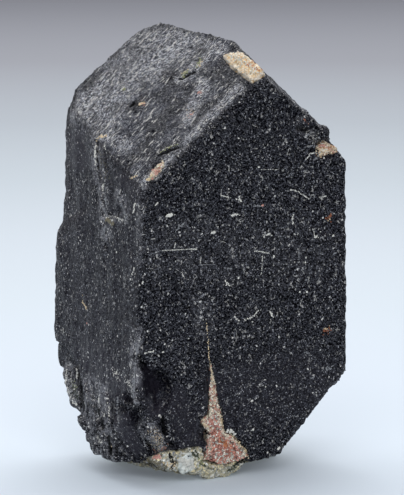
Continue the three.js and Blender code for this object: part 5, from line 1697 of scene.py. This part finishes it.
@dataclass
class GrainsAndPaintedChips:
    """The pale grains and films, and chips of painted shade and painted glints: the ones that the photograph
    shows, and grains like them on the far side.
    """

    stride: float = 1.4
    scattered: int = 420
    far_size: tuple[float, float] = (0.06, 0.13)
    far_shades: tuple[Shade, ...] = (Shade.GREY, Shade.WHITE, Shade.CREAM, Shade.PINK)
    far_weights: tuple[int, ...] = (5, 4, 2, 1)
    flatness: float = 0.45
    unevenness: float = 0.16
    seed: int = 17

    @cached_property
    def ball(self) -> tuple[list[Vector], list[list[int]]]:
        """The corners and faces of the ball of radius one that every chip is pressed from."""
        ball = bmesh.new()
        bmesh.ops.create_icosphere(ball, subdivisions=1, radius=1)
        ball.verts.index_update()
        corners = [vertex.co.copy() for vertex in ball.verts]
        faces = [[vertex.index for vertex in face.verts] for face in ball.faces]
        ball.free()
        return corners, faces

    def chip(self, into: bmesh.types.BMesh, place: Vector, normal: Vector, size: float, shade: Shade) -> None:
        """Adds one flat, uneven chip that lies in the surface.

        Args:
            into: The mesh that holds all the chips.
            place: Where it lies, in metres.
            normal: The surface's normal there.
            size: Its half width.
            shade: Its colour.
        """
        dice, order = self.dice, shade.order
        turn = normal.to_track_quat("Z", "Y").to_matrix().to_4x4()
        turn = turn @ Matrix.Rotation(dice.uniform(0, math.tau), 4, "Z")
        wide, long = (size * dice.uniform(0.7, 1.3) * MM for _ in range(2))
        shape = Matrix.Diagonal((wide, long, self.flatness * size * MM, 1))
        press = Matrix.Translation(place) @ turn @ shape
        corners, faces = self.ball
        made = []
        for corner in corners:
            astray = Vector([dice.gauss(0, self.unevenness * size * MM) for _ in range(3)])
            vertex = into.verts.new(press @ corner + astray)
            vertex[self.shade_layer] = order
            made.append(vertex)
        for face in faces:
            into.faces.new([made[index] for index in face])

    def places(self, mark: Mark) -> Iterator[Pixel]:
        """Gives the pixels at which a mark's chips lie, one step apart and a little astray."""
        for _ in range(mark.layers):
            for across, down in evenly(mark.line, self.stride):
                if self.dice.random() < mark.fill:
                    yield (across + self.dice.gauss(0, mark.spread), down + self.dice.gauss(0, mark.spread))

    def make(
        self, crystal: bpy.types.Object, minerals: Sequence[bpy.types.Object], camera: PhotoCamera
    ) -> bpy.types.Object:
        """Builds all the chips as one piece.

        Args:
            crystal: The finished crystal that most of them lie on.
            minerals: The other finished pieces, for the ones that the photograph shows there.
            camera: The camera that places the ones in the photograph.

        Returns:
            The dressed object.
        """
        self.dice = random.Random(self.seed)
        chips = bmesh.new()
        self.shade_layer = chips.verts.layers.float.new("shade")
        surface = surface_of([crystal, *minerals])
        for mark in MARKS.values():
            for pixel in self.places(mark):
                hit = camera.touch(surface, pixel)
                if hit is not None:
                    self.chip(chips, *hit, mark.size * self.dice.uniform(0.8, 1.25), mark.shade)
        faces = crystal.data.polygons
        unseen = [face for face in faces if face.normal.dot(camera.back) < 0]
        for face in self.dice.sample(unseen, self.scattered):
            shade = self.dice.choices(self.far_shades, self.far_weights)[0]
            self.chip(chips, face.center, face.normal, self.dice.uniform(*self.far_size), shade)
        return keep(stored(chips, "grains_and_painted_chips"), GrainAndPaintedChipFinish().material(), "cream_feldspar")


@dataclass
class Studio:
    """The pale floor and the soft lights."""

    floor_radius: float = 3.0
    key_place: Vector = field(default_factory=lambda: Vector((0.2, 0.44, 0.85)))
    key_size: float = 1.1
    key_power: float = 11.5
    fill_place: Vector = field(default_factory=lambda: Vector((-0.55, -0.95, 0.6)))
    fill_size: float = 1.1
    fill_power: float = 9.0
    aim: Vector = field(default_factory=lambda: Vector((0, 0, 0.03)))
    room: Colour = tone(214, 216, 222)
    room_strength: float = 0.36

    def make(self) -> None:
        """Lays the floor and hangs the lights."""
        disc = bmesh.new()
        bmesh.ops.create_circle(disc, cap_ends=True, segments=96, radius=self.floor_radius)
        floor = stored(disc, "floor")
        floor.data.materials.append(FloorFinish().material())
        floor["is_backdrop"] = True
        self.softbox("key", self.key_place, self.key_size, self.key_power)
        fill = self.softbox("fill", self.fill_place, self.fill_size, self.fill_power)
        fill.visible_glossy = False
        world = bpy.data.worlds.new("room")
        world.use_nodes = True
        shade = world.node_tree.nodes["Background"]
        shade.inputs["Color"].default_value = self.room
        shade.inputs["Strength"].default_value = self.room_strength
        bpy.context.scene.world = world
        bpy.context.scene.view_settings.view_transform = "Standard"

    def softbox(self, name: str, place: Vector, size: float, power: float) -> bpy.types.Object:
        """Hangs a square light that looks at the specimen.

        Args:
            name: The light's name.
            place: Where it hangs, in metres.
            size: Its side, in metres.
            power: Its power, in watts.

        Returns:
            The light.
        """
        data = bpy.data.lights.new(name, "AREA")
        data.shape = "SQUARE"
        data.size = size
        data.energy = power
        light = bpy.data.objects.new(name, data)
        light.location = place
        light.rotation_mode = "QUATERNION"
        light.rotation_quaternion = (self.aim - place).to_track_quat("-Z", "Y")
        bpy.context.scene.collection.objects.link(light)
        return light


CREAM = SugaryFinish(
    "cream feldspar",
    (tone(255, 240, 206), tone(255, 252, 236), tone(250, 220, 172), tone(255, 248, 228), tone(244, 208, 162)),
    rim=tone(255, 246, 230),
    joint=tone(214, 170, 124),
    bump=1.2,
    cracked=0.55,
)
TAN = SugaryFinish(
    "tan feldspar",
    (tone(240, 216, 180), tone(222, 182, 142), tone(255, 240, 214), tone(206, 152, 112)),
    rim=tone(240, 222, 194),
    joint=tone(96, 68, 48),
)
PINK = SugaryFinish(
    "pink feldspar",
    (tone(255, 198, 180), tone(255, 248, 226), tone(218, 150, 132), tone(255, 250, 236), tone(228, 160, 146)),
    rim=tone(255, 246, 222),
    joint=tone(94, 54, 44),
    grain=0.28,
    cracked=0.85,
)
MATRIX = SugaryFinish(
    "albite matrix",
    (tone(255, 248, 222), tone(242, 236, 212), tone(255, 242, 200), tone(206, 202, 180), tone(255, 254, 244)),
    rim=tone(140, 138, 124),
    joint=tone(120, 110, 88),
    grain=0.34,
    cracked=0.5,
)
CRUMBLY = (
    Layer(Form.GRAINY, (1.4, 1.4, 1.4), 0.32, 1, 4.7),
    Layer(Form.GRAINY, (0.6, 0.6, 0.6), 0.14, 1, 3.3),
    Layer(Form.ROLLING, (2.6, 2.6, 2.6), 0.3, 3, 6.1),
)


def fillings() -> list[Filling]:
    """Lists the minerals that are not the crystal."""
    return [
        Filling("pink_feldspar_wedge", "wedge", "pink_feldspar", PINK, cell=0.12, swell=-0.14, rim=1.0),
        Filling("cream_feldspar_patch", "patch", "cream_feldspar", CREAM),
        Filling("tan_feldspar_grain", "shoulder_grain", "tan_feldspar", TAN),
        Filling("pink_feldspar_streak", "streak", "pink_feldspar", PINK),
        Filling("white_quartz_grain", "quartz", "quartz", QuartzFinish(), swell=0.2),
        Filling("matrix_crust", "matrix", "matrix", MATRIX, cell=0.22, swell=0.05, rim=0.3, relief=CRUMBLY),
    ]


def write_sizes() -> None:
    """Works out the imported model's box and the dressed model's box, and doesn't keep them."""
    boxes = {"cad": CAD_BOX, "visual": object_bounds()}
    {name: [list(corner) for corner in box] for name, box in boxes.items()}


def main() -> None:
    """Builds the specimen and the studio in order."""
    logging.basicConfig(level=logging.INFO, format="%(message)s")
    camera = PhotoCamera()
    camera.make()
    Studio().make()
    minerals = fillings()
    crystal = Crystal().make([filling.node for filling in minerals], camera)
    GrainsAndPaintedChips().make(crystal, [filling.make() for filling in minerals], camera)
    write_sizes()


if __name__ == "__main__":
    main()
